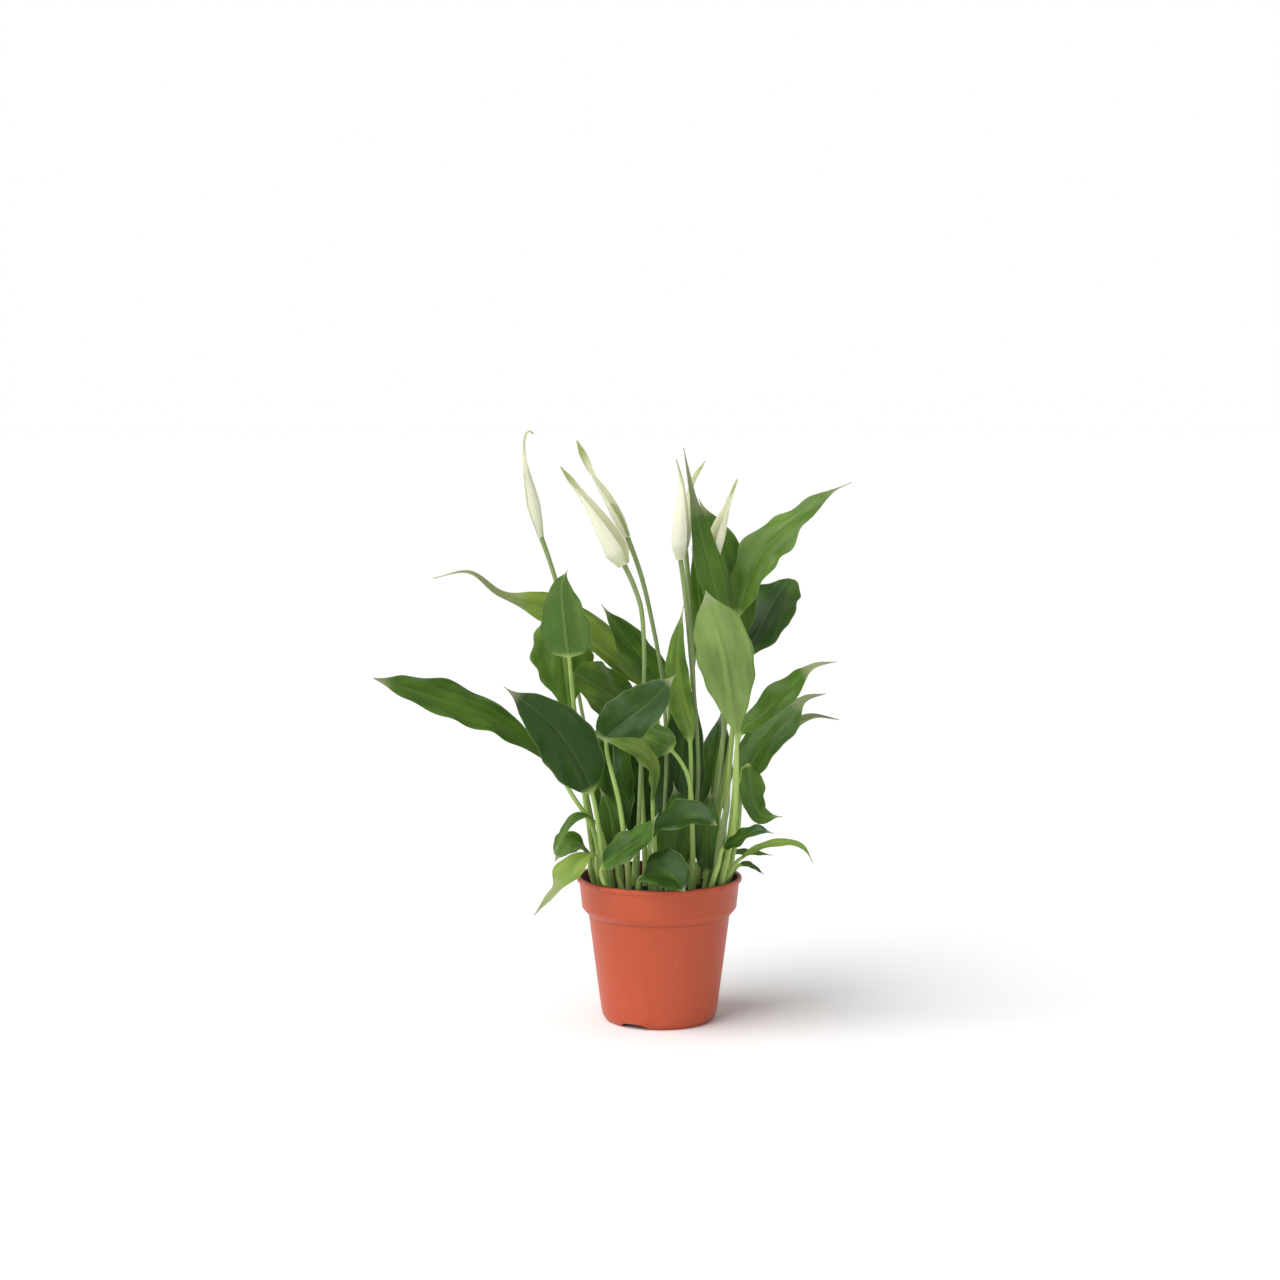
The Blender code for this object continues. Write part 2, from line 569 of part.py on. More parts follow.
def make_spear(name, group, look):
    """A young leaf, still tightly rolled to a point."""
    foot = (SPEAR_ROOT[0], SPEAR_ROOT[1], STALK_FOOT_Z)
    bottom = (SPEAR_ROOT[0], SPEAR_ROOT[1], STALK_BOTTOM_Z)
    radii = (STALK_FOOT_RADIUS, STALK_FOOT_RADIUS) + SPEAR_RADII
    tube(name, (bottom, foot) + SPEAR_POINTS, radii, group, look)


def radius_at(t, radii):
    """A smooth value through evenly spaced radii at t, 0 to 1."""
    spot = t * (len(radii) - 1)
    i = min(int(spot), len(radii) - 2)
    u = spot - i
    a, b = radii[i], radii[i + 1]
    leave = (b - radii[max(i - 1, 0)]) / 2
    arrive = (radii[min(i + 2, len(radii) - 1)] - a) / 2
    return (a * (2 * u**3 - 3 * u**2 + 1) + leave * (u**3 - 2 * u**2 + u)
            + b * (3 * u**2 - 2 * u**3) + arrive * (u**3 - u**2))


def make_spathe(name, line, radii, facing, group, look):
    """A sheet rolled around the spadix, open in a slit down one side, with thickness."""
    portions = even_steps(SPATHE_ROWS)
    places = along(line, portions)
    normals = carried_normals([tangent for _, tangent in places], facing, 0)
    shape = bmesh.new()
    grid = []
    for t, (point, tangent), normal in zip(portions, places, normals):
        side = tangent.cross(normal)
        radius = radius_at(t, radii)
        reach = SPATHE_WRAP - SPATHE_OPENING * t**2
        row = []
        for i in range(SPATHE_COLUMNS + 1):
            turn = math.pi + reach * (2 * i / SPATHE_COLUMNS - 1)
            spot = point + (normal * math.cos(turn) + side * math.sin(turn)) * radius
            row.append(shape.verts.new(spot * MM))
        grid.append(row)
    for a, b in zip(grid, grid[1:]):
        for i in range(SPATHE_COLUMNS):
            shape.faces.new((a[i], a[i + 1], b[i + 1], b[i]))
    mesh = bpy.data.meshes.new(name)
    shape.to_mesh(mesh)
    shape.free()
    smooth(mesh)
    made = add_object(name, mesh, group, look)
    thick = made.modifiers.new("thickness", "SOLIDIFY")
    thick.thickness = SPATHE_THICKNESS * MM
    thick.offset = -1.0
    return made


def make_flower(row, group, looks):
    name, root, stem, spathe, radii, facing = row
    stem_look, spathe_look, spadix_look = looks
    base = Vector(spathe[0])
    make_stem(name + "_stem", root, stem, base, group, stem_look)
    line = spline([Vector(stem[-1])] + [Vector(p) for p in spathe])[SPLINE_STEPS:]
    start = line[0] + (line[1] - line[0]).normalized() * GAP
    line[0] = start
    make_spathe(name + "_spathe", line, radii, facing, group, spathe_look)
    places = [point for point, _ in along(line, SPADIX_PORTIONS)]
    tube(name + "_spadix", places, SPADIX_RADII, group, spadix_look)


def main():
    clear_scene()
    plant = collection("potted_peace_lily")
    cutters = collection("cutters")
    leaf_look = material("leaf_green", GREEN_UPPER, 0.42)
    stem_look = material("stem_green", GREEN_STEM, 0.5)
    spathe_look = material("spathe_cream", CREAM, 0.55)
    spadix_look = material("spadix_green", SPADIX_GREEN, 0.7)
    make_pot(plant, cutters, material("pot_terracotta", TERRACOTTA, 0.5))
    places = [row[1] for row in LEAVES + FLOWERS] + [SPEAR_ROOT]
    make_soil(plant, cutters, material("peat", PEAT, 0.95), places)
    for row in LEAVES:
        make_leaf(row, plant, leaf_look)
    make_spear("young_leaf", plant, stem_look)
    for row in FLOWERS:
        make_flower(row, plant, (stem_look, spathe_look, spadix_look))


main()
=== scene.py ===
"""The looks of a potted peace lily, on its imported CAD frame.

Every leaf, stem, spathe and spadix is grown again here as a fine mesh along the same route as its
CAD solid, in mm with the frame's axes, and stands for that solid. The pot and the soil are turned
again with their small roundings and crumbs.
"""
import math
import random

import bmesh
import bpy
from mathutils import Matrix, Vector, noise


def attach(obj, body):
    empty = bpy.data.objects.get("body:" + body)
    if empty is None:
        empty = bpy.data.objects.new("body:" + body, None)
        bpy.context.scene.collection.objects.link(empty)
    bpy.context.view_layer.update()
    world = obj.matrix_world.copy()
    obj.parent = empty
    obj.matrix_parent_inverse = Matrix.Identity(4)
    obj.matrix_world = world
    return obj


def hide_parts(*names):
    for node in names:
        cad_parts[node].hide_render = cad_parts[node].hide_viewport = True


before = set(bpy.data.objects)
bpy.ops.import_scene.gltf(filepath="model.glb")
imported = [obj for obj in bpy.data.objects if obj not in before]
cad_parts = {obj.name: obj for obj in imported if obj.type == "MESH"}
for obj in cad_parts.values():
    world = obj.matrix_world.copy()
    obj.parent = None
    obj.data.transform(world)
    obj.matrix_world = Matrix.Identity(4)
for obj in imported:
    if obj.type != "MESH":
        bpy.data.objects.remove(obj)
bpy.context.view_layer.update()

MM = 0.001
UP = Vector((0, 0, 1))
BODY = "root"

# Camera, m and degrees: a long lens a little above the leaves, looking slightly down.
CAMERA_PLACE = (-0.014, -1.8, 0.451)
CAMERA_DOWN = 5.53
CAMERA_LENS = 70.65
CAMERA_SENSOR = 36.0
FLOOR_SIZE = 60.0

# Light: a wide soft sun from the upper left, a softbox aimed at the plant's middle, and a world
# whose brightness fades between two heights in the sky, from the horizon's to the overhead one.
SUN_FROM = (-0.509, -0.294, 0.809)
SUN_STRENGTH = 2.8
SUN_WIDTH = 55
PLANT_MIDDLE = Vector((0, 0, 0.22))
SOFTBOX_PLACE = (-1.1, -1.5, 0.9)
SOFTBOX_SIZE = 0.9
SOFTBOX_POWER = 6.0
WORLD_HORIZON = 1.0
WORLD_OVERHEAD = 0.35
WORLD_FADE = (0.18, 0.38)

SPLINE_STEPS = 16

# Pot, mm, as in the CAD
POT_HEIGHT = 105.0
RIM_RADIUS = 60.0
BAND_RADIUS = 57.0
BAND_FOOT_Z = 83.0
STEP_RADIUS = 51.3
STEP_Z = 77.0
BASE_RADIUS = 42.5
CORNER_Z = 9.0
FOOT_RADIUS = 38.0
FOOT_INNER_RADIUS = 35.5
FLOOR_Z = 4.5
WALL = 1.2
HUB_RADIUS = 10.0
NOTCH_COUNT = 3
NOTCH_WIDTH = 23.0
NOTCH_HEIGHT = 3.8
NOTCH_FIRST_ANGLE = math.radians(-118)
HOLE_COUNT = 8
HOLE_RADIUS = 3.5
HOLE_CIRCLE = 26.0
POT_SIDES = 160
EDGE_ROUNDING = 0.7
# Where the crease under the rim band lies, and how far from it the painted shade in the crease begins and
# ends.
CREASE_Z = 77.6
CREASE_SHADE_REACH = (0.2, 1.3)

# Soil, mm
SOIL_TOP = 95.0
SOCKET_DEPTH = 6.0
SOIL_RADIUS = 55.4
SOIL_SIDES = 180
SOIL_RINGS = 56
# The stalks start this much above their sockets' floor and run straight up to this much above the soil.
STALK_GAP = 0.4
STALK_RISE = 1.5
CRUMB_COUNT = 1500

# Leaves, mm
STALK_FOOT_RADIUS = 2.2
STALK_TOP_RADIUS = 1.4
TAIL_NARROWING = 0.6
TAIL_BLEND = 0.09
# Blade outlines: fullness near the stalk (lower is rounder), taper towards the tip (higher is
# finer), where the narrow drawn-out tip begins, and the slope of the halves up from the midrib.
OVAL = (0.7, 1.15, 0.88, 0.16)
HEART = (0.5, 0.95, 0.88, 0.16)
KITE = (1.15, 0.85, 0.92, 0.16)
WEDGE = (1.4, 0.9, 1.2, 0.16)
ROUND = (0.6, 0.55, 1.2, 0.12)
TAILED = (0.7, 1.0, 0.72, 0.2)
RIBBON = (0.8, 1.45, 0.62, 0.2)
LANCE = (0.95, 1.6, 0.86, 0.18)
SPADE = (0.42, 1.2, 0.92, 0.12)
STRAP = (0.8, 1.0, 0.55, 0.25)
FOLDED = (0.6, 0.8, 0.94, 0.7)
HALF_COLUMNS = 13
MIDRIB_CROWDING = 1.45
STALK_ROWS = 18
ROW_LENGTH = 2.2
LEAST_ROWS = 26
THINNEST_HALF = 0.3
LAMINA = 0.45
# The side veins: how far apart, how they slant and curve towards the tip, and how much they wander.
VEIN_SPACING = 7.5
VEIN_SLANT = 1.9
VEIN_CURVE = 0.035
VEIN_WANDER = 2.2
# The height of the swelling between the veins and of the large soft bumps.
QUILT = 0.26
SWELL = 3.8
# How deep the midrib's groove is above and below, as a share of its width.
GROOVE_ABOVE = 0.45
GROOVE_BELOW = 0.85
# Where a drawn-out tip is said to begin in the "leaf_lines" attribute, for every outline.
TAIL_PLACE = 0.9

# Flowers, mm
STEM_RADIUS = 1.9
SPADIX_RADIUS = 1.3
SPADIX_BELLY = 2.1
SPADIX_SHARE = 0.36
SPATHE_THICKNESS = 0.5
SPATHE_COLUMNS = 26
# Degrees from the middle of a spathe's back to its free edge, at its base, and how much less at its tip.
SPATHE_WRAP = 155
SPATHE_OPENING = 75

# The same routes as the CAD's, mm: name, place on the soil, stalk points, blade points from the
# stalk's end to the tip, half width, and the way the upper face looks.
LEAVES = (
    ("leaf_01", (-42, -14), [(-47, -18, 140), (-62, -24, 167)],
     [(-76, -30, 190), (-115, -42, 223), (-154, -54, 240), (-199, -70, 257)], 20, (0.1, -0.55, 0.8), KITE),
    ("leaf_02", (-38, -26), [(-42, -34, 135)],
     [(-48, -44, 172), (-60, -60, 202), (-80, -78, 230), (-107, -96, 254)], 21, (-0.2, -0.9, 0.5), OVAL),
    ("leaf_03", (-47, 2), [(-55, -12, 175), (-61, -26, 232)],
     [(-64, -38, 268), (-66, -44, 285), (-68, -52, 306), (-68, -61, 322), (-64, -70, 332)], 18,
     (0.1, 0.8, 0.6), SPADE),
    ("leaf_04", (-44, 14), [(-54, 4, 170)],
     [(-64, -6, 222), (-67, -6, 241), (-69, -6, 259), (-71, -6, 277), (-73, -4, 299)], 22,
     (0.0, -0.9, 0.4), WEDGE),
    ("leaf_05", (2, 30), [(0, 32, 185)],
     [(-6, 32, 234), (-43, 30, 272), (-80, 26, 295), (-116, 18, 309), (-137, 10, 325), (-163, 4, 321)],
     19, (0.3, -0.6, 0.7), RIBBON),
    ("leaf_06", (10, 14), [(7, 14, 180)],
     [(6, 14, 236), (-10, 14, 258), (-27, 12, 280), (-42, 8, 302)], 16, (0.5, -0.7, 0.5), OVAL),
    ("leaf_07", (-10, 4), [(-13, 10, 170)],
     [(-15, 13, 218), (-30, 1, 233), (-45, -14, 245), (-61, -27, 255)], 20, (0.2, -0.85, 0.5), ROUND),
    ("leaf_08", (-22, -32), [(-28, -36, 160)],
     [(-38, -39, 208), (-25, -42, 223), (-8, -45, 237), (11, -50, 257)], 18, (-0.2, -0.95, 0.3), HEART),
    ("leaf_09", (-2, -24), [(-4, -28, 140)],
     [(-5, -31, 163), (-5, -37, 189), (-14, -54, 204), (-27, -68, 211), (-44, -76, 217)], 9,
     (0.3, -0.85, 0.4), OVAL),
    ("leaf_10", (24, -22), [(23, -24, 160), (20, -24, 182)],
     [(9, -20, 199), (-6, -8, 205), (-20, 2, 206), (-36, 16, 199)], 14, (0.1, -0.85, 0.5), HEART),
    ("leaf_11", (44, -28), [(53, -40, 150)],
     [(54, -50, 212), (50, -60, 240), (44, -74, 276), (31, -84, 319)], 20, (0.1, 0.9, 0.3), KITE),
    ("leaf_12", (45, 0), [(52, 2, 200)],
     [(53, 2, 248), (44, 0, 298), (33, -2, 338), (24, -6, 378), (17, -10, 415)], 11, (0.4, -0.8, 0.3),
     TAILED),
    ("leaf_13", (36, 22), [(50, 26, 225)],
     [(56, 28, 272), (52, 32, 311), (43, 38, 344), (29, 46, 377)], 19, (-0.1, -0.9, 0.3), OVAL),
    ("leaf_14", (46, 12), [(54, 14, 220)],
     [(57, 14, 291), (64, 16, 316), (76, 20, 340), (100, 24, 363), (123, 28, 381), (140, 32, 389)],
     18, (-0.4, -0.7, 0.6), LANCE),
    ("leaf_15", (40, 30), [(54, 26, 210)],
     [(60, 26, 260), (72, 38, 279), (84, 54, 298), (97, 72, 316)], 23, (-0.5, -0.8, 0.3), ROUND),
    ("leaf_16", (48, -14), [(53, -22, 165)],
     [(57, -22, 210), (75, -28, 228), (96, -36, 250), (108, -42, 262), (124, -47, 266)], 13,
     (-0.4, -0.6, 0.7), TAILED),
    ("leaf_17", (50, -4), [(57, -5, 140)],
     [(60, -6, 172), (73, -2, 199), (91, 4, 220), (106, 10, 233), (121, 15, 236)], 17,
     (-0.4, -0.7, 0.6), TAILED),
    ("leaf_18", (42, 20), [(55, 24, 140)],
     [(63, 26, 177), (80, 34, 198), (98, 42, 208), (114, 48, 215), (134, 54, 212)], 14,
     (-0.4, -0.6, 0.7), STRAP),
    ("leaf_19", (44, -8), [(55, -12, 150), (60, -14, 186)],
     [(63, -15, 189), (65, -17, 177), (67, -18, 162), (73, -18, 152), (88, -18, 151)], 11,
     (0.4, -0.8, 0.3), OVAL),
    ("leaf_20", (36, -34), [(42, -39, 121)],
     [(45, -42, 133), (57, -53, 142), (68, -59, 148), (80, -64, 147)], 8, (-0.3, -0.5, 0.8), OVAL),
    ("leaf_21", (44, -20), [(51, -22, 112)],
     [(57, -24, 121), (74, -28, 132), (93, -32, 135), (103, -35, 131), (109, -36, 121)], 5,
     (-0.1, -0.4, 0.9), OVAL),
    ("leaf_22", (34, 36), [(42, 37, 111)],
     [(52, 38, 115), (67, 40, 115), (84, 42, 112)], 4, (-0.1, -0.5, 0.9), OVAL),
    ("leaf_23", (50, 6), [(54, 10, 106)],
     [(59, 14, 110), (67, 18, 109), (77, 20, 102)], 4, (0.1, -0.4, 0.9), OVAL),
    ("leaf_24", (-6, -36), [(-7, -40, 125)],
     [(-5, -44, 142), (11, -52, 153), (26, -60, 157), (40, -66, 153)], 14, (0.1, -0.6, 0.8), FOLDED),
    ("leaf_25", (-14, -42), [(-15, -46, 107)],
     [(-12, -50, 114), (-2, -58, 117), (8, -65, 116), (17, -72, 107)], 17, (0.1, -0.7, 0.7), FOLDED),
    ("leaf_26", (-34, -36), [(-40, -42, 109)],
     [(-41, -45, 119), (-27, -52, 132), (-12, -58, 144), (-1, -63, 161)], 13, (-0.4, -0.6, 0.6), OVAL),
    ("leaf_27", (-42, -22), [(-45, -31, 118)],
     [(-46, -38, 127), (-57, -48, 125), (-69, -58, 111), (-88, -70, 90)], 12, (-0.2, -0.4, 0.9), STRAP),
    ("leaf_28", (-47, -6), [(-50, -9, 112)],
     [(-51, -11, 123), (-58, -15, 131), (-66, -20, 132), (-75, -26, 120)], 13, (-0.2, -0.6, 0.8), HEART),
    ("leaf_29", (-34, -14), [(-39, -22, 130)],
     [(-45, -28, 148), (-55, -35, 155), (-66, -42, 148), (-75, -46, 129)], 5, (-0.1, -0.4, 0.9), OVAL),
    ("leaf_30", (-28, -4), [(-30, 4, 118)],
     [(-31, 8, 133), (-33, 16, 165), (-34, 28, 196), (-32, 44, 220)], 15, (0.1, -0.9, 0.4), OVAL),
    ("leaf_31", (-18, 12), [(-18, 20, 110)],
     [(-15, 30, 124), (-14, 42, 154), (-9, 52, 190), (-5, 64, 226)], 17, (0.1, -0.9, 0.4), OVAL),
    ("leaf_32", (14, -2), [(13, 1, 112)],
     [(13, 3, 122), (13, 5, 152), (16, 8, 186), (19, 10, 222), (21, 11, 254)], 18, (0.0, -0.95, 0.2),
     OVAL),
    ("leaf_33", (28, 12), [(30, 23, 116)],
     [(34, 34, 136), (39, 44, 166), (44, 54, 196), (47, 66, 218)], 15, (-0.1, -0.9, 0.4), OVAL),
    ("leaf_34", (-27, -18), [(-30, -15, 108)],
     [(-31, -14, 118), (-34, -8, 138), (-37, -5, 155), (-43, -4, 170)], 11, (0.2, -0.9, 0.3), OVAL),
    ("leaf_35", (6, -14), [(8, -16, 104)],
     [(9, -17, 110), (11, -17, 134), (13, -17, 156), (10, -18, 176)], 14, (0.0, -0.95, 0.3), OVAL),
    ("leaf_36", (32, -20), [(33, -19, 104)],
     [(34, -19, 110), (34, -17, 134), (35, -14, 154), (37, -12, 172)], 10, (0.0, -0.95, 0.3), OVAL),
    ("leaf_37", (-28, 28), [(-36, 40, 140)],
     [(-42, 52, 164), (-52, 78, 186), (-60, 104, 196), (-68, 128, 192)], 18, (0.2, -0.3, 0.9), OVAL),
    ("leaf_38", (14, 40), [(17, 44, 150), (20, 45, 215)],
     [(26, 46, 257), (30, 46, 280), (29, 46, 306), (24, 46, 342)], 7, (0.0, -0.95, 0.2), OVAL),
    ("leaf_39", (23, -15), [(22, -16, 150)],
     [(22, -16, 204), (15, -16, 236), (12, -16, 268), (17, -15, 303)], 9, (-0.3, -0.9, 0.2), OVAL),
)

# The young leaf is still a rolled spear: its place on the soil, then points and radii up to its tip.
SPEAR_ROOT = (38, -24)
SPEAR_POINTS = ((42, -27, 130), (46, -29, 150), (49, -31, 168), (50, -31, 182))

# One row a flower, mm: name, place on the soil, stem points, spathe points from base to tip, the
# spathe's half width, and the way its open side looks.
FLOWERS = (
    ("flower_1", (-36, 24), [(-50, 42, 180), (-63, 49, 250), (-75, 51, 311), (-82, 52, 334)],
     [(-87, 52, 348), (-93, 52, 376), (-99, 52, 405), (-99, 52, 421), (-96, 52, 426), (-92, 52, 424)],
     (2.4, 4.0, 4.8, 3.8, 2.5, 1.6, 1.0, 0.7), (-1, -0.4, 0)),
    ("flower_2", (-16, -14), [(-13, -22, 200), (-11, -22, 262), (-13, -22, 300), (-19, -22, 319)],
     [(-25, -22, 332), (-37, -22, 354), (-52, -23, 378), (-70, -24, 402)],
     (4.6, 8.6, 7.6, 6.4, 5.0, 3.6, 2.6, 2.2, 0.7), (0.8, -0.6, 0.2)),
    ("flower_3", (2, -6), [(5, -2, 190), (2, -2, 248), (-7, -3, 298), (-14, -4, 326)],
     [(-23, -4, 351), (-35, -4, 375), (-48, -4, 396), (-59, -4, 420)],
     (2.6, 4.0, 4.2, 3.5, 2.8, 1.5, 2.4, 2.4, 0.7), (0.5, -0.8, 0)),
    ("flower_4", (22, -8), [(28, -8, 183), (22, -9, 270), (18, -10, 312)],
     [(15, -10, 335), (15, -10, 362), (16, -10, 390), (12, -10, 407)],
     (3.6, 6.0, 6.2, 5.6, 4.8, 3.5, 2.0, 1.0, 0.7), (1, -0.3, 0)),
    ("flower_5", (20, 16), [(26, 20, 200), (22, 24, 305)],
     [(19, 24, 342), (20, 24, 366), (24, 24, 390), (33, 24, 405)],
     (2.6, 4.0, 4.4, 3.8, 3.0, 2.0, 2.2, 1.8, 0.7), (-1, -0.3, 0)),
    ("flower_6", (34, -10), [(46, 4, 200), (44, 11, 290)],
     [(41, 12, 334), (42, 12, 351), (48, 12, 370), (56, 12, 392)],
     (2.6, 4.4, 5.6, 5.2, 3.9, 2.6, 1.7, 1.1, 0.7), (-0.6, -0.8, 0)),
)

# How light a leaf is, from an old dark one at 0 to a young yellow-green one at 1, in leaf order.
TONES = (
    0.36, 0.00, 0.20, 0.50, 0.78, 0.40, 0.55, 0.00, 0.78, 0.50,
    0.60, 0.36, 0.35, 0.52, 0.20, 0.36, 0.32, 0.60, 0.42, 0.12,
    1.00, 0.50, 0.30, 0.04, 0.10, 0.28, 1.00, 0.46, 0.40, 0.20,
    0.12, 0.10, 0.16, 0.32, 0.22, 0.25, 0.30, 0.55, 0.66,
)
# How far the margins wave up and down, mm, where it isn't the usual.
USUAL_WAVE = 1.2
WAVES = {"leaf_04": 2.2, "leaf_14": 3.0, "leaf_15": 1.2, "leaf_05": 1.8, "leaf_08": 2.2, "leaf_26": 2.0,
         "leaf_21": 0.4, "leaf_22": 0.4, "leaf_23": 0.3, "leaf_29": 0.4, "leaf_03": 0.6, "leaf_11": 0.6}
# How strongly the outline of a ruffled leaf goes in and out, as a share of its half width.
FRILLS = {"leaf_04": 0.07, "leaf_14": 0.12, "leaf_15": 0.025, "leaf_05": 0.05, "leaf_08": 0.03}
USUAL_FRILL = 0.03
# How green each spathe is, from cream at 0 to yellow-green at 1.
SPATHE_GREENS = (0.08, 0.16, 0.22, 0.10, 0.45, 0.06)


# Shader nodes

def new_material(name):
    made = bpy.data.materials.new(name)
    made.use_nodes = True
    return made


class Graph:
    """Short ways to add and join a material's nodes."""

    def __init__(self, material):
        self.tree = material.node_tree
        self.shader = self.tree.nodes["Principled BSDF"]

    def join(self, source, target):
        if isinstance(source, (int, float)):
            target.default_value = source
        elif isinstance(source, tuple):
            target.default_value = (*source, 1.0)[:4] if target.type == "RGBA" else source
        else:
            self.tree.links.new(source, target)

    def math(self, operation, a, b=0.0, c=0.0):
        node = self.tree.nodes.new("ShaderNodeMath")
        node.operation = operation
        for value, socket in zip((a, b, c), node.inputs):
            self.join(value, socket)
        return node.outputs[0]

    def step(self, value, low, high):
        """0 below low, 1 above high, and a smooth rise between them."""
        node = self.tree.nodes.new("ShaderNodeMapRange")
        node.interpolation_type = "SMOOTHSTEP"
        for source, socket in zip((value, low, high), node.inputs[:3]):
            self.join(source, socket)
        return node.outputs[0]

    def mix(self, factor, a, b):
        node = self.tree.nodes.new("ShaderNodeMix")
        node.data_type = "RGBA"
        self.join(factor, node.inputs[0])
        self.join(a, node.inputs[6])
        self.join(b, node.inputs[7])
        return node.outputs[2]

    def noise(self, scale, detail=3.0, stretch=None):
        node = self.tree.nodes.new("ShaderNodeTexNoise")
        node.inputs["Scale"].default_value = scale
        node.inputs["Detail"].default_value = detail
        place = self.tree.nodes.new("ShaderNodeTexCoord").outputs["Object"]
        if stretch:
            mapping = self.tree.nodes.new("ShaderNodeMapping")
            mapping.inputs["Scale"].default_value = stretch
            self.join(place, mapping.inputs["Vector"])
            place = mapping.outputs[0]
        self.join(place, node.inputs["Vector"])
        return node.outputs[0]

    def cells(self, scale):
        node = self.tree.nodes.new("ShaderNodeTexVoronoi")
        node.inputs["Scale"].default_value = scale
        self.join(self.tree.nodes.new("ShaderNodeTexCoord").outputs["Object"], node.inputs["Vector"])
        return node.outputs["Distance"]

    def noise_at(self, x, y, z, detail):
        """Noise looked up at three computed numbers instead of at a place on the object."""
        joined = self.tree.nodes.new("ShaderNodeCombineXYZ")
        for socket, value in zip(joined.inputs, (x, y, z)):
            self.join(value, socket)
        node = self.tree.nodes.new("ShaderNodeTexNoise")
        self.join(joined.outputs[0], node.inputs["Vector"])
        node.inputs["Scale"].default_value = 1.0
        node.inputs["Detail"].default_value = detail
        return node.outputs["Fac"]

    def attribute(self, name):
        """The three numbers of a mesh's vector attribute."""
        node = self.tree.nodes.new("ShaderNodeAttribute")
        node.attribute_name = name
        split = self.tree.nodes.new("ShaderNodeSeparateXYZ")
        self.join(node.outputs["Vector"], split.inputs[0])
        return split.outputs

    def bump(self, height, distance, strength=1.0):
        node = self.tree.nodes.new("ShaderNodeBump")
        node.inputs["Strength"].default_value = strength
        node.inputs["Distance"].default_value = distance
        self.join(height, node.inputs["Height"])
        self.join(node.outputs[0], self.shader.inputs["Normal"])

    def subsurface(self, weight, radius, scale):
        self.shader.inputs["Subsurface Weight"].default_value = weight
        self.shader.inputs["Subsurface Radius"].default_value = radius
        self.shader.inputs["Subsurface Scale"].default_value = scale

    def finish(self, color, roughness):
        self.join(color, self.shader.inputs["Base Color"])
        self.join(roughness, self.shader.inputs["Roughness"])


def leaf_material():
    """Waxy green above, paler and duller below, with a fine midrib, side veins, a pale tip, and painted
    sheen and shade in long streaks beside the midrib.
    """
    made = new_material("peace_lily_leaf")
    g = Graph(made)
    phase, across, along = g.attribute("leaf_lines")
    upper, edge, tone = g.attribute("leaf_kind")
    wave = g.math("MULTIPLY_ADD", g.math("COSINE", phase), 0.5, 0.5)
    line = g.math("POWER", wave, 7.0)
    fine_wave = g.math("COSINE", g.math("MULTIPLY", phase, 4.0))
    fine = g.math("POWER", g.math("MULTIPLY_ADD", fine_wave, 0.5, 0.5), 2.0)
    rib = g.math("SUBTRACT", 1.0, g.step(g.math("ABSOLUTE", across), 0.3, 1.2))
    patches = g.noise(38.0, 4.0)
    speckle = g.noise(620.0, 2.0)
    # Painted sheen and shade: lighter and darker streaks running along the blade, which also vary the wax's
    # roughness.
    sheen_streaks = g.noise_at(g.math("MULTIPLY", across, 0.16), g.math("MULTIPLY", along, 2.6),
                       g.math("MULTIPLY", tone, 31.0), 3.0)
    shade = g.math("ADD", tone, g.math("MULTIPLY_ADD", patches, 0.50, -0.25))
    shade = g.math("ADD", shade, g.math("MULTIPLY_ADD", sheen_streaks, 0.90, -0.45))
    young = g.mix(g.step(shade, 0.45, 1.0), (0.066, 0.144, 0.011), (0.200, 0.290, 0.042))
    face = g.mix(g.step(shade, 0.0, 0.5), (0.017, 0.056, 0.003), young)
    face = g.mix(g.math("MULTIPLY", line, 0.07), face, (0.100, 0.190, 0.040))
    face = g.mix(g.math("MULTIPLY", fine, 0.07), face, (0.013, 0.046, 0.003))
    back = g.mix(g.step(shade, 0.0, 0.9), (0.060, 0.135, 0.018), (0.210, 0.305, 0.080))
    back = g.mix(g.math("MULTIPLY", line, 0.10), back, (0.240, 0.340, 0.110))
    color = g.mix(upper, back, face)
    rib_upper = g.math("MULTIPLY_ADD", tone, 0.35, 0.10)
    rib_strength = g.math("ADD", g.math("MULTIPLY", upper, g.math("SUBTRACT", rib_upper, 0.40)), 0.40)
    color = g.mix(g.math("MULTIPLY", rib, rib_strength), color, (0.190, 0.300, 0.085))
    margin = g.step(edge, 0.93, 1.0)
    color = g.mix(g.math("MULTIPLY", margin, 0.45), color, (0.180, 0.260, 0.090))
    stalk = g.math("SUBTRACT", 1.0, g.step(along, 0.0, 0.07))
    streaks = g.noise(260.0, 3.0, (1.0, 1.0, 0.08))
    stalk_color = g.mix(streaks, (0.230, 0.360, 0.065), (0.420, 0.550, 0.180))
    color = g.mix(stalk, color, stalk_color)
    tip = g.step(along, 0.86, 0.95)
    tip_color = g.mix(patches, (0.230, 0.260, 0.130), (0.400, 0.400, 0.250))
    color = g.mix(g.math("MULTIPLY", tip, 0.65), color, tip_color)
    wax = g.math("MULTIPLY_ADD", sheen_streaks, 0.24, g.math("MULTIPLY_ADD", upper, -0.13, 0.40))
    g.finish(color, wax)
    relief = g.math("MULTIPLY_ADD", speckle, 0.18, g.math("MULTIPLY", fine, -0.05))
    relief = g.math("MULTIPLY_ADD", line, -0.16, relief)
    g.bump(relief, 0.0004, 0.8)
    g.shader.inputs["Specular IOR Level"].default_value = 0.24
    g.subsurface(0.05, (0.5, 1.0, 0.2), 0.0015)
    return made


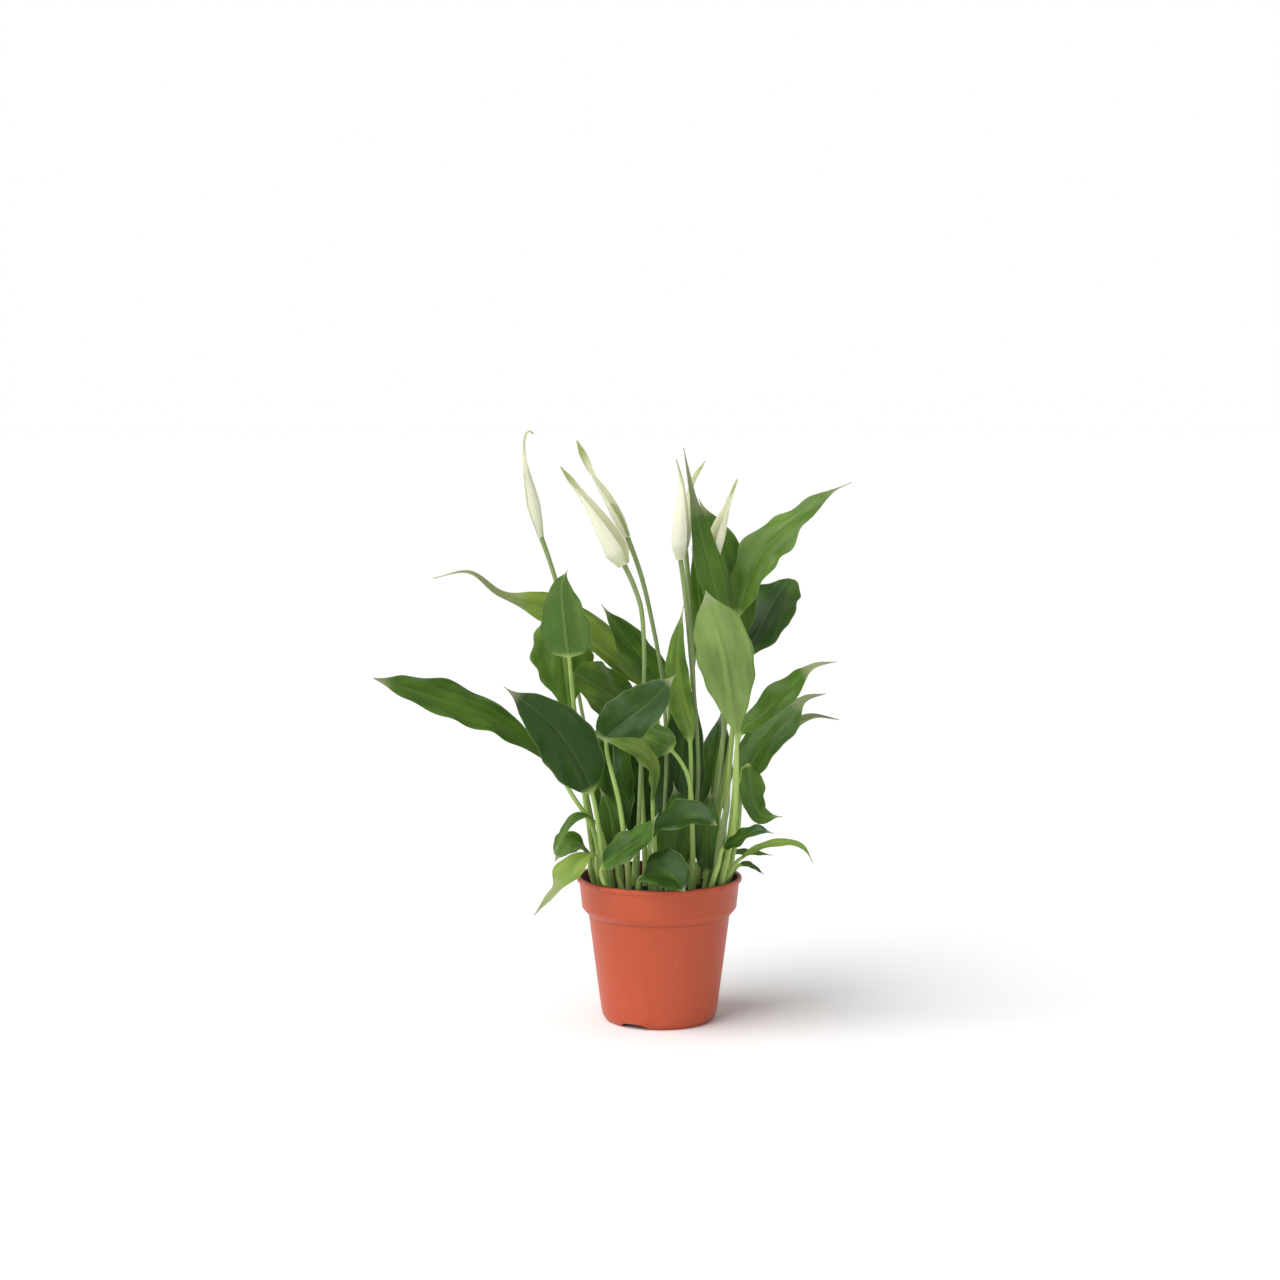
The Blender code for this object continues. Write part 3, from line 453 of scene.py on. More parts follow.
def stem_material():
    """Smooth round flower stems with fine lengthwise streaks."""
    made = new_material("peace_lily_stem")
    g = Graph(made)
    streaks = g.noise(300.0, 4.0, (1.0, 1.0, 0.06))
    patches = g.noise(30.0, 3.0)
    color = g.mix(streaks, (0.150, 0.220, 0.055), (0.330, 0.410, 0.170))
    color = g.mix(g.math("MULTIPLY", patches, 0.5), color, (0.110, 0.200, 0.040))
    g.finish(color, g.math("MULTIPLY_ADD", streaks, 0.15, 0.36))
    g.bump(streaks, 0.0002, 0.5)
    g.subsurface(0.1, (0.5, 1.0, 0.2), 0.002)
    return made


def spathe_material():
    """Cream, with fine lengthwise veins, greener at its base, along its back and at its tip."""
    made = new_material("peace_lily_spathe")
    g = Graph(made)
    turn, along, green = g.attribute("spathe_lines")
    wave = g.math("COSINE", g.math("MULTIPLY", turn, 46.0))
    veins = g.math("POWER", g.math("MULTIPLY_ADD", wave, 0.5, 0.5), 4.0)
    patches = g.noise(55.0, 4.0)
    tip = g.step(along, 0.66, 0.92)
    foot = g.math("SUBTRACT", 1.0, g.step(along, 0.0, 0.22))
    spine = g.math("SUBTRACT", 1.0, g.step(g.math("ABSOLUTE", turn), 0.0, 0.16))
    amount = g.math("MAXIMUM", g.math("MULTIPLY", foot, 0.50), g.math("MULTIPLY", spine, 0.25))
    amount = g.math("MAXIMUM", amount, g.math("MULTIPLY", green, g.math("MULTIPLY_ADD", patches, 0.9, 0.35)))
    cream = g.mix(patches, (0.860, 0.860, 0.540), (0.950, 0.940, 0.700))
    color = g.mix(amount, cream, (0.480, 0.550, 0.190))
    color = g.mix(tip, color, (0.270, 0.340, 0.090))
    color = g.mix(g.math("MULTIPLY", veins, 0.20), color, (0.560, 0.620, 0.300))
    g.finish(color, g.math("MULTIPLY_ADD", patches, 0.15, 0.42))
    g.bump(veins, 0.0002, 0.6)
    g.subsurface(0.5, (1.0, 1.0, 0.6), 0.006)
    return made


def spadix_material():
    """A warm pale green rod, covered with tiny closed florets."""
    made = new_material("peace_lily_spadix")
    g = Graph(made)
    florets = g.cells(950.0)
    color = g.mix(g.step(florets, 0.1, 0.6), (0.660, 0.640, 0.330), (0.330, 0.400, 0.130))
    g.finish(color, 0.62)
    g.bump(florets, 0.0004, -0.8)
    return made


def pot_material():
    """Moulded terracotta-coloured plastic: satin, faintly mottled, with scuffs and peat dust, and painted
    shade in the crease under the rim band and on the inner wall.
    """
    made = new_material("nursery_pot_plastic")
    g = Graph(made)
    cloud = g.noise(18.0, 4.0)
    grain = g.noise(900.0, 2.0)
    scuff = g.step(g.noise(120.0, 6.0, (1.0, 1.0, 0.25)), 0.62, 0.80)
    color = g.mix(cloud, (0.415, 0.062, 0.021), (0.495, 0.086, 0.032))
    color = g.mix(g.math("MULTIPLY", scuff, 0.18), color, (0.560, 0.170, 0.105))
    split = g.tree.nodes.new("ShaderNodeSeparateXYZ")
    g.join(g.tree.nodes.new("ShaderNodeTexCoord").outputs["Object"], split.inputs[0])
    height = split.outputs[2]
    lip = g.step(height, 0.100, 0.105)
    inside = g.attribute("pot_side")[0]
    # Painted shade: a dark line along the crease under the rim band.
    off_crease = g.math("ABSOLUTE", g.math("SUBTRACT", height, CREASE_Z * MM))
    crease_shade = g.math("SUBTRACT", 1.0, g.step(off_crease, CREASE_SHADE_REACH[0] * MM, CREASE_SHADE_REACH[1] * MM))
    color = g.mix(g.math("MULTIPLY", crease_shade, 0.45), color, (0.200, 0.034, 0.014))
    # Painted shade: the inside of the pot's wall darkened, mottled by the large cloud noise.
    inner_wall_shade = g.math("MULTIPLY", inside, g.math("MULTIPLY_ADD", cloud, 0.4, 0.6))
    color = g.mix(inner_wall_shade, color, (0.050, 0.017, 0.010))
    foot = g.math("SUBTRACT", 1.0, g.step(height, 0.001, 0.010))
    dust = g.math("MULTIPLY", g.step(g.noise(210.0, 6.0), 0.52, 0.70), g.math("MAXIMUM", lip, foot))
    color = g.mix(g.math("MULTIPLY", dust, 0.35), color, (0.070, 0.035, 0.022))
    rough = g.math("MULTIPLY_ADD", cloud, 0.10, g.math("MULTIPLY_ADD", scuff, 0.12, 0.36))
    g.finish(color, g.math("MULTIPLY_ADD", dust, 0.3, rough))
    g.bump(g.math("MULTIPLY_ADD", cloud, 0.6, g.math("MULTIPLY", grain, 0.12)), 0.00025, 0.5)
    g.shader.inputs["Specular IOR Level"].default_value = 0.34
    g.subsurface(0.06, (1.0, 0.3, 0.15), 0.002)
    return made


def peat_material():
    """Moist dark peat, from almost black to brown fibres."""
    made = new_material("peat")
    g = Graph(made)
    lumps = g.noise(160.0, 6.0)
    fibres = g.noise(900.0, 4.0, (1.0, 0.2, 1.0))
    color = g.mix(g.step(lumps, 0.35, 0.72), (0.010, 0.006, 0.004), (0.050, 0.028, 0.016))
    color = g.mix(g.step(fibres, 0.62, 0.78), color, (0.120, 0.070, 0.040))
    g.finish(color, g.math("MULTIPLY_ADD", lumps, 0.25, 0.72))
    g.bump(g.math("ADD", lumps, g.math("MULTIPLY", fibres, 0.5)), 0.0012, 0.9)
    return made


# Curves and meshes

def spline(points, start_tangent=None):
    """A smooth curve through the points, as a close-spaced list of vectors."""
    nodes = [Vector(p) for p in points]
    first = nodes[0] * 2 - nodes[1]
    if start_tangent:
        first = nodes[1] - Vector(start_tangent) * 2 * (nodes[1] - nodes[0]).length
    nodes = [first] + nodes + [nodes[-1] * 2 - nodes[-2]]
    samples = []
    for i in range(1, len(nodes) - 2):
        before, a, b, after = nodes[i - 1:i + 3]
        leave = (b - before) * 0.5
        arrive = (after - a) * 0.5
        span = (b - a).length
        leave *= min(1.0, span / max(leave.length, 1e-9))
        arrive *= min(1.0, span / max(arrive.length, 1e-9))
        for k in range(SPLINE_STEPS):
            t = k / SPLINE_STEPS
            samples.append(
                a * (2 * t**3 - 3 * t**2 + 1) + leave * (t**3 - 2 * t**2 + t)
                + b * (3 * t**2 - 2 * t**3) + arrive * (t**3 - t**2))
    samples.append(nodes[-2])
    return samples


def curve_length(samples):
    return sum((b - a).length for a, b in zip(samples, samples[1:]))


def along_curve(samples, portions):
    """Points and tangents at these portions, 0 to 1, of a sampled curve's length."""
    reach = [0.0]
    for a, b in zip(samples, samples[1:]):
        reach.append(reach[-1] + (b - a).length)
    found = []
    i = 1
    for portion in portions:
        want = portion * reach[-1]
        while i < len(reach) - 1 and reach[i] < want:
            i += 1
        part = (want - reach[i - 1]) / max(reach[i] - reach[i - 1], 1e-9)
        point = samples[i - 1].lerp(samples[i], part)
        ahead = samples[min(i + 1, len(samples) - 1)] - samples[max(i - 2, 0)]
        found.append((point, ahead.normalized()))
    return found


def carried_normals(tangents, facing, middle):
    """The facing direction carried along the curve both ways from its middle without twisting."""
    normals = [None] * len(tangents)
    current = Vector(facing)
    for i in range(middle, len(tangents)):
        current = (current - tangents[i] * current.dot(tangents[i])).normalized()
        normals[i] = current
    current = normals[middle]
    for i in range(middle - 1, -1, -1):
        current = (current - tangents[i] * current.dot(tangents[i])).normalized()
        normals[i] = current
    return normals


def steps(count):
    """Evenly spaced shares from 0 to 1."""
    return [step / count for step in range(count + 1)]


def smooth_step(value, low, high):
    t = min(max((value - low) / (high - low), 0.0), 1.0)
    return t * t * (3 - 2 * t)


def to_mesh(name, shape):
    """The bmesh as a mesh of this name."""
    mesh = bpy.data.meshes.new(name)
    shape.to_mesh(mesh)
    shape.free()
    return mesh


def skin(name, rings, attributes, sharp_degrees=50):
    """A closed mesh over rings of points in mm. Each attribute is (name, a vector for each point)."""
    shape = bmesh.new()
    rows = [[shape.verts.new(p * MM) for p in ring] for ring in rings]
    count = len(rows[0])
    for a, b in zip(rows, rows[1:]):
        for i in range(count):
            j = (i + 1) % count
            shape.faces.new((a[i], a[j], b[j], b[i]))
    shape.faces.new(rows[0])
    shape.faces.new(rows[-1])
    bmesh.ops.recalc_face_normals(shape, faces=shape.faces)
    mesh = to_mesh(name, shape)
    for label, values in attributes:
        layer = mesh.attributes.new(label, "FLOAT_VECTOR", "POINT")
        layer.data.foreach_set("vector", [number for value in values for number in value])
    mesh.shade_smooth()
    mesh.set_sharp_from_angle(angle=math.radians(sharp_degrees))
    return mesh


def shown(name, data):
    """A new object in the scene with this mesh, light or camera."""
    made = bpy.data.objects.new(name, data)
    bpy.context.scene.collection.objects.link(made)
    return made


def place(name, mesh, look, slot, *nodes):
    """Shows the mesh as a piece that stands for these CAD nodes."""
    piece = shown(name, mesh)
    mesh.materials.append(look)
    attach(piece, BODY)
    if nodes:
        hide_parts(*nodes)
    return piece


# Leaves

def blade_shape(t, outline):
    """Share of a blade's half width at t, 0 at the stalk to 1 at the tip."""
    fullness, taper, tail, _ = outline
    widest = fullness / (fullness + taper)
    full = widest**fullness * (1 - widest) ** taper
    narrowed = TAIL_NARROWING * smooth_step(t, tail - TAIL_BLEND, tail + TAIL_BLEND)
    return t**fullness * (1 - t) ** taper / full * (1 - narrowed)


def ring_places():
    """The points round a leaf's section: (across -1 to 1, upper 1 or lower -1), closer at the midrib."""
    half = [share**MIDRIB_CROWDING for share in steps(HALF_COLUMNS)]
    above = [(x, 1) for x in reversed(half)] + [(-x, 1) for x in half[1:]]
    below = [(-x, -1) for x in reversed(half[:-1])] + [(x, -1) for x in half[1:-1]]
    return above + below


def root_points(root):
    """Where a stalk or stem starts inside its socket, and where it leaves the soil."""
    return Vector((*root, SOIL_TOP - SOCKET_DEPTH + STALK_GAP)), Vector((*root, SOIL_TOP + STALK_RISE))


def leaf_rows(root, stalk, blade):
    """Points and tangents up the stalk (places -1 to 0) and along the blade (0 to 1), and its length."""
    bottom, foot = root_points(root)
    line = spline([foot, *stalk, *blade], UP)
    joint = SPLINE_STEPS * (len(stalk) + 1)
    stalk_line, blade_line = line[:joint + 1], line[joint:]
    rows = [(bottom, UP, -1.0)]
    portions = [step / STALK_ROWS for step in range(STALK_ROWS)]
    rows += [(p, t, portion - 1) for portion, (p, t) in zip(portions, along_curve(stalk_line, portions))]
    length = curve_length(blade_line)
    portions = steps(max(LEAST_ROWS, round(length / ROW_LENGTH)))
    rows += [(p, t, portion) for portion, (p, t) in zip(portions, along_curve(blade_line, portions))]
    return rows, length


def leaf_point(x, side, t, leaf):
    """One point of a blade's section: how far across and how high, mm, and the side veins' phase."""
    edge = abs(x)
    share = blade_shape(t, leaf["outline"])
    frill = math.sin(2 * math.pi * (leaf["lobes"] * t + leaf["start"] + (0.3 if x > 0 else 0.0)))
    across = x * max(leaf["half_width"] * share * (1 + leaf["frill"] * edge * frill), THINNEST_HALF)
    away = abs(across)
    far = t * leaf["length"]
    phase = 2 * math.pi * (far - VEIN_SLANT * away - VEIN_CURVE * away * away) / leaf["spacing"]
    spot = Vector((far * 0.05, across * 0.09, leaf["seed"]))
    phase += VEIN_WANDER * noise.noise(spot)
    lift = leaf["outline"][3] * away * (1 - 0.35 * edge * edge)
    swing = math.sin(2 * math.pi * (leaf["turns"] * t + leaf["start"] + (0.4 if x > 0 else 0.0)))
    lift += leaf["wave"] * share * edge**2.2 * swing
    quilt = (0.5 - 0.5 * math.cos(phase)) * math.sin(math.pi * min(edge * 1.05, 1.0)) ** 0.6
    rough = 0.6 + 0.9 * noise.noise(spot * 0.8 + Vector((5, 0, 0)))
    size = min(1.0, leaf["half_width"] / 14)
    lift += QUILT * quilt * rough * share * size
    lift += SWELL * noise.noise(spot * 0.9 + Vector((0, 9, 0))) * min(edge * 2, 1.0) * share * size
    rib = STALK_TOP_RADIUS * (1 - t) ** 0.8 + 0.15
    depth = GROOVE_ABOVE if side > 0 else GROOVE_BELOW
    lift -= depth * rib * math.exp(-((across / rib) ** 2))
    thick = LAMINA / 2 * (1 - edge**6) ** 0.5
    return across, lift + side * thick, phase


def tail_place(t, tail):
    """The place along the blade, stretched so that every drawn-out tip begins at TAIL_PLACE."""
    if t < tail:
        return t * TAIL_PLACE / tail
    return TAIL_PLACE + (1 - TAIL_PLACE) * (t - tail) / (1 - tail)


def make_leaf(row, tone, look):
    name, root, stalk, blade, half_width, facing, outline = row
    chance = random.Random(name)
    rows, length = leaf_rows(root, stalk, blade)
    middle = min(range(len(rows)), key=lambda i: abs(rows[i][2] - 0.5))
    normals = carried_normals([row[1] for row in rows], facing, middle)
    leaf = {
        "outline": outline, "half_width": half_width, "length": length,
        "spacing": VEIN_SPACING * min(1.0, length / 100), "wave": WAVES.get(name, USUAL_WAVE),
        "turns": chance.uniform(2.2, 3.4), "start": chance.random(), "seed": chance.uniform(0, 50),
        "lobes": chance.uniform(4.0, 6.0), "frill": FRILLS.get(name, USUAL_FRILL),
    }
    places = ring_places()
    rings, lines, kinds = [], [], []
    for (point, tangent, t), normal in zip(rows, normals):
        side_way = tangent.cross(normal)
        blend = smooth_step(t, 0.0, 0.14)
        radius = STALK_TOP_RADIUS + (STALK_FOOT_RADIUS - STALK_TOP_RADIUS) * max(-t, 0.0)
        radius *= 1 - 0.8 * max(t, 0.0)
        ring = []
        for k, (x, side) in enumerate(places):
            turn = 2 * math.pi * k / len(places)
            round_x = radius * math.cos(turn)
            round_y = radius * math.sin(turn)
            if t <= 0.0:
                across, lift, phase = round_x, round_y, 0.0
            else:
                across, lift, phase = leaf_point(x, side, t, leaf)
                across += (round_x - across) * (1 - blend) * (1 if abs(across) < radius else 0)
                lift += (round_y - lift) * (1 - blend)
            ring.append(point + side_way * across + normal * lift)
            lines.append((phase, across if t > 0 else 0.0, tail_place(t, outline[2])))
            kinds.append((1.0 if side > 0 else 0.0, abs(x) if t > 0.02 else 0.0, tone))
        rings.append(ring)
    mesh = skin(name + "_mesh", rings, (("leaf_lines", lines), ("leaf_kind", kinds)))
    place(name + "_grown", mesh, look, "leaf_green", name)


# Flowers and the young leaf

def round_rings(line, portions, radius_at, sides):
    """Rings round a curve at these portions of its length, with radius_at(portion, turn) in mm."""
    places = along_curve(line, portions)
    normals = carried_normals([tangent for _, tangent in places], (0.13, -0.99, 0.05), 0)
    rings = []
    for portion, (point, tangent), normal in zip(portions, places, normals):
        side = tangent.cross(normal)
        ring = []
        for k in range(sides):
            turn = 2 * math.pi * k / sides
            reach = radius_at(portion, turn)
            ring.append(point + (side * math.cos(turn) + normal * math.sin(turn)) * reach)
        rings.append(ring)
    return rings


def make_stem(name, root, stem, base, look):
    """A round, faintly ribbed stem from its socket to the spathe's base."""
    bottom, foot = root_points(root)
    line = [bottom] + spline([foot, *stem, base], UP)

    def radius(portion, turn):
        ribs = 0.05 * math.cos(5 * turn)
        swell = 0.05 * smooth_step(portion, 0.95, 1.0)
        return STEM_RADIUS * (0.97 - 0.22 * math.sin(math.pi * portion)) + ribs + swell

    rings = round_rings(line, steps(70), radius, 20)
    place(name + "_grown", skin(name + "_mesh", rings, ()), look, "stem_green", name)


def make_spear(look):
    """The young leaf, rolled to a spear, with the edge of its outer turn showing as a low ridge."""
    line = spline([*root_points(SPEAR_ROOT), *SPEAR_POINTS])

    def radius(portion, turn):
        swell = 2.0 + 0.6 * math.sin(math.pi * smooth_step(portion, 0.25, 1.0))
        close = (1 - smooth_step(portion, 0.72, 1.0)) * 0.92 + 0.08
        lap = (turn / (2 * math.pi) + portion * 0.8) % 1.0
        return swell * close * (0.85 + 0.18 * lap)

    rings = round_rings(line, steps(60), radius, 28)
    place("young_leaf_grown", skin("young_leaf_mesh", rings, ()), look, "stem_green", "young_leaf")


def radius_at(t, radii):
    """A smooth value through evenly spaced radii at t, 0 to 1."""
    spot = t * (len(radii) - 1)
    i = min(int(spot), len(radii) - 2)
    u = spot - i
    a, b = radii[i], radii[i + 1]
    leave = (b - radii[max(i - 1, 0)]) / 2
    arrive = (radii[min(i + 2, len(radii) - 1)] - a) / 2
    return (a * (2 * u**3 - 3 * u**2 + 1) + leave * (u**3 - 2 * u**2 + u)
            + b * (3 * u**2 - 2 * u**3) + arrive * (u**3 - u**2))


def make_spathe(name, line, radii, facing, green, look):
    """A sheet rolled round the spadix, open down one side, its free edges curled and a little wavy."""
    chance = random.Random(name)
    start = chance.random() * 6
    portions = steps(64)
    places = along_curve(line, portions)
    normals = carried_normals([tangent for _, tangent in places], facing, 0)
    rings, lines = [], []
    for t, (point, tangent), normal in zip(portions, places, normals):
        side = tangent.cross(normal)
        radius = radius_at(t, radii)
        reach = math.radians(SPATHE_WRAP - SPATHE_OPENING * t**2)
        outer, inner = [], []
        for i in range(SPATHE_COLUMNS + 1):
            share = 2 * i / SPATHE_COLUMNS - 1
            turn = math.pi + reach * share
            out = normal * math.cos(turn) + side * math.sin(turn)
            ripple = 0.30 * math.sin(9 * t + start + 2.5 * share) * share**2 * min(1.0, radius / 3)
            flare = 0.9 * abs(share) ** 6 * min(1.0, radius / 4) * smooth_step(t, 0.05, 0.3)
            away = radius + ripple + flare
            thin = SPATHE_THICKNESS * (1 - 0.5 * abs(share) ** 4)
            thin = min(thin, away * 0.6)
            outer.append((point + out * away, (share, t, green)))
            inner.append((point + out * (away - thin), (share, t, green)))
        ring = outer + inner[::-1]
        rings.append([p for p, _ in ring])
        lines += [value for _, value in ring]
    mesh = skin(name + "_mesh", rings, (("spathe_lines", lines),))
    place(name + "_grown", mesh, look, "spathe_cream", name)


def make_spadix(name, line, look):
    """A rod covered with florets in a spiral, on a smooth short foot."""
    def radius(portion, turn):
        body = smooth_step(portion, 0.12, 0.35)
        close = math.sqrt(max(1 - max((portion - 0.8) / 0.2, 0.0) ** 2, 0.0)) * 0.9 + 0.1
        size = (SPADIX_RADIUS + (SPADIX_BELLY - SPADIX_RADIUS) * body) * close
        florets = 0.16 * body * math.cos(8 * turn + 60 * portion) * math.cos(5 * turn - 75 * portion)
        return size * 0.95 + florets

    short = line[:int(len(line) * SPADIX_SHARE)]
    rings = round_rings(short, steps(90), radius, 40)
    place(name + "_grown", skin(name + "_mesh", rings, (), 80), look, "spadix_green", name)


def make_flower(row, green, looks):
    name, root, stem, spathe, radii, facing = row
    stem_look, spathe_look, spadix_look = looks
    make_stem(name + "_stem", root, stem, spathe[0], stem_look)
    line = spline([stem[-1], *spathe])[SPLINE_STEPS:]
    line[0] = line[0] + (line[1] - line[0]).normalized() * 0.3
    make_spathe(name + "_spathe", line, radii, facing, green, spathe_look)
    make_spadix(name + "_spadix", line, spadix_look)


# Pot

def rounded(outline, radius, points=5):
    """The outline with each inner corner replaced by a small curve of about this radius."""
    made = [outline[0]]
    for before, corner, after in zip(outline, outline[1:], outline[2:]):
        a, b, c = Vector(before), Vector(corner), Vector(after)
        reach = min(radius, (a - b).length * 0.45, (c - b).length * 0.45)
        start = b + (a - b).normalized() * reach
        end = b + (c - b).normalized() * reach
        for step in range(points + 1):
            t = step / points
            spot = start * (1 - t) ** 2 + b * 2 * t * (1 - t) + end * t**2
            made.append((spot.x, spot.y))
    made.append(outline[-1])
    return made


def pot_outline():
    """Closed half section of the pot: inner floor, up inside, over the rim, down outside, underside."""
    corner = POT_HEIGHT - 1.2
    return [
        (0.0, WALL),
        (HUB_RADIUS - 1.2, WALL),
        (HUB_RADIUS + 1.0, FLOOR_Z + WALL),
        (FOOT_RADIUS - 1.0, FLOOR_Z + WALL),
        (BASE_RADIUS - WALL, CORNER_Z + 1.5),
        (STEP_RADIUS - WALL, STEP_Z + 0.4),
        (BAND_RADIUS - 2.0 - WALL, BAND_FOOT_Z - 1.2),
        (BAND_RADIUS - WALL - 0.4, BAND_FOOT_Z + 1.0),
        (BAND_RADIUS - WALL + 1.0, POT_HEIGHT),
        (RIM_RADIUS - 0.4, POT_HEIGHT),
        (RIM_RADIUS, corner),
        (RIM_RADIUS - 0.2, corner - 1.8),
        (BAND_RADIUS + 1.0, corner - 3.0),
        (BAND_RADIUS - 0.8, BAND_FOOT_Z),
        (BAND_RADIUS - 2.0, BAND_FOOT_Z - 1.8),
        (STEP_RADIUS, STEP_Z),
        (BASE_RADIUS, CORNER_Z),
        (BASE_RADIUS - 1.0, CORNER_Z * 0.45),
        (FOOT_RADIUS + 1.4, 0.8),
        (FOOT_RADIUS, 0.0),
        (FOOT_INNER_RADIUS, 0.0),
        (FOOT_INNER_RADIUS - 1.0, FLOOR_Z),
        (HUB_RADIUS + 0.8, FLOOR_Z),
        (HUB_RADIUS, 0.0),
        (0.0, 0.0),
    ]


def turned_mesh(name, outline, sides):
    """A solid of revolution from an (r, z) outline in mm, as an object with a screw modifier."""
    mesh = bpy.data.meshes.new(name)
    points = [(r * MM, 0.0, z * MM) for r, z in outline]
    mesh.from_pydata(points, [(i, i + 1) for i in range(len(points) - 1)], [])
    turned = shown(name, mesh)
    screw = turned.modifiers.new("turn", "SCREW")
    screw.angle = 2 * math.pi
    screw.steps = sides
    screw.render_steps = sides
    screw.use_merge_vertices = True
    screw.merge_threshold = 0.00001
    return turned


def notch_shape(shape, angle):
    """An arched tunnel through the foot ring, added to a bmesh."""
    half = NOTCH_WIDTH / 2
    arch = [(-half, -2.0), (half, -2.0)]
    for step in range(17):
        turn = math.pi * step / 16
        arch.append((half * 0.92 * math.cos(turn), 1.2 + (NOTCH_HEIGHT - 1.2) * math.sin(turn)))
    out = Vector((math.cos(angle), math.sin(angle), 0.0))
    across = Vector((-out.y, out.x, 0.0))
    ends = []
    for reach in (FOOT_INNER_RADIUS - 6.0, BASE_RADIUS + 6.0):
        ends.append([shape.verts.new((out * reach + across * x + Vector((0, 0, z))) * MM) for x, z in arch])
    shape.faces.new(ends[0])
    shape.faces.new(ends[1])
    for i in range(len(arch)):
        j = (i + 1) % len(arch)
        shape.faces.new((ends[0][i], ends[0][j], ends[1][j], ends[1][i]))


def pot_cutter():
    """Three notches and the drain holes, as one cutter."""
    shape = bmesh.new()
    for number in range(NOTCH_COUNT):
        notch_shape(shape, NOTCH_FIRST_ANGLE + 2 * math.pi * number / NOTCH_COUNT)
    for number in range(HOLE_COUNT):
        angle = 2 * math.pi * (number + 0.5) / HOLE_COUNT
        made = bmesh.ops.create_cone(shape, cap_ends=True, segments=32, radius1=HOLE_RADIUS * MM,
                                     radius2=HOLE_RADIUS * MM, depth=6 * MM)
        middle = Vector((HOLE_CIRCLE * math.cos(angle), HOLE_CIRCLE * math.sin(angle), FLOOR_Z + 1)) * MM
        bmesh.ops.translate(shape, verts=made["verts"], vec=middle)
    bmesh.ops.recalc_face_normals(shape, faces=shape.faces)
    return shown("pot_cutter", to_mesh("pot_cutter", shape))


def evaluated_mesh(name, source):
    bpy.context.view_layer.update()
    made = bpy.data.meshes.new_from_object(source.evaluated_get(bpy.context.evaluated_depsgraph_get()))
    made.name = name
    return made


def make_pot(look):
    source = turned_mesh("pot_turned", rounded(pot_outline(), EDGE_ROUNDING), POT_SIDES)
    cutter = pot_cutter()
    boolean = source.modifiers.new("cut", "BOOLEAN")
    boolean.operation = "DIFFERENCE"
    boolean.solver = "EXACT"
    boolean.object = cutter
    mesh = evaluated_mesh("pot_mesh", source)
    bpy.data.objects.remove(source)
    bpy.data.objects.remove(cutter)
    mesh.shade_smooth()
    mesh.set_sharp_from_angle(angle=math.radians(35))
    facing_in = mesh.attributes.new("pot_side", "FLOAT_VECTOR", "POINT")
    for vertex, value in zip(mesh.vertices, facing_in.data):
        outward = vertex.co.x * vertex.normal.x + vertex.co.y * vertex.normal.y
        value.vector = (1.0 if outward < 0 else 0.0, 0.0, 0.0)
    place("nursery_pot", mesh, look, "pot_terracotta", "pot")


# Soil

def stalk_places():
    return [row[1] for row in LEAVES + FLOWERS] + [SPEAR_ROOT]


def soil_height(x, y, roots):
    """Height of the peat's surface in mm: lumpy, drawn up a little round each stalk."""
    lumps = noise.noise(Vector((x, y, 3.0)) * 0.09) * 1.3 + noise.noise(Vector((x, y, 9.0)) * 0.35) * 0.7
    near = min((x - rx) ** 2 + (y - ry) ** 2 for rx, ry in roots)
    rise = 1.3 * math.exp(-near / 20)
    rim = smooth_step(math.hypot(x, y), SOIL_RADIUS - 8, SOIL_RADIUS)
    return SOIL_TOP - 0.2 + lumps + rise - 1.6 * rim


def make_soil(look):
    """The peat: a lumpy top on a plain body that fits the pot."""
    roots = stalk_places()
    shape = bmesh.new()
    # The top's rings have no height of their own; the rings of the sides below them do.
    levels = [(SOIL_RADIUS * share, None) for share in steps(SOIL_RINGS)[1:]]
    levels += [(BAND_RADIUS - 4.2, BAND_FOOT_Z), (STEP_RADIUS - 1.8, STEP_Z),
               (BASE_RADIUS - 1.8, CORNER_Z + 3.0), (FOOT_RADIUS - 1.4, FLOOR_Z + 1.7)]
    grid = []
    for radius, level in levels:
        row = []
        for k in range(SOIL_SIDES):
            turn = 2 * math.pi * k / SOIL_SIDES
            x, y = radius * math.cos(turn), radius * math.sin(turn)
            z = soil_height(x, y, roots) if level is None else level
            row.append(shape.verts.new((x * MM, y * MM, z * MM)))
        grid.append(row)
    top = shape.verts.new((0, 0, soil_height(0, 0, roots) * MM))
    for k in range(SOIL_SIDES):
        shape.faces.new((top, grid[0][k], grid[0][(k + 1) % SOIL_SIDES]))
    for a, b in zip(grid, grid[1:]):
        for k in range(SOIL_SIDES):
            j = (k + 1) % SOIL_SIDES
            shape.faces.new((a[k], b[k], b[j], a[j]))
    shape.faces.new(grid[-1])
    bmesh.ops.recalc_face_normals(shape, faces=shape.faces)
    mesh = to_mesh("soil_mesh", shape)
    mesh.shade_smooth()
    place("peat_body", mesh, look, "peat", "soil")


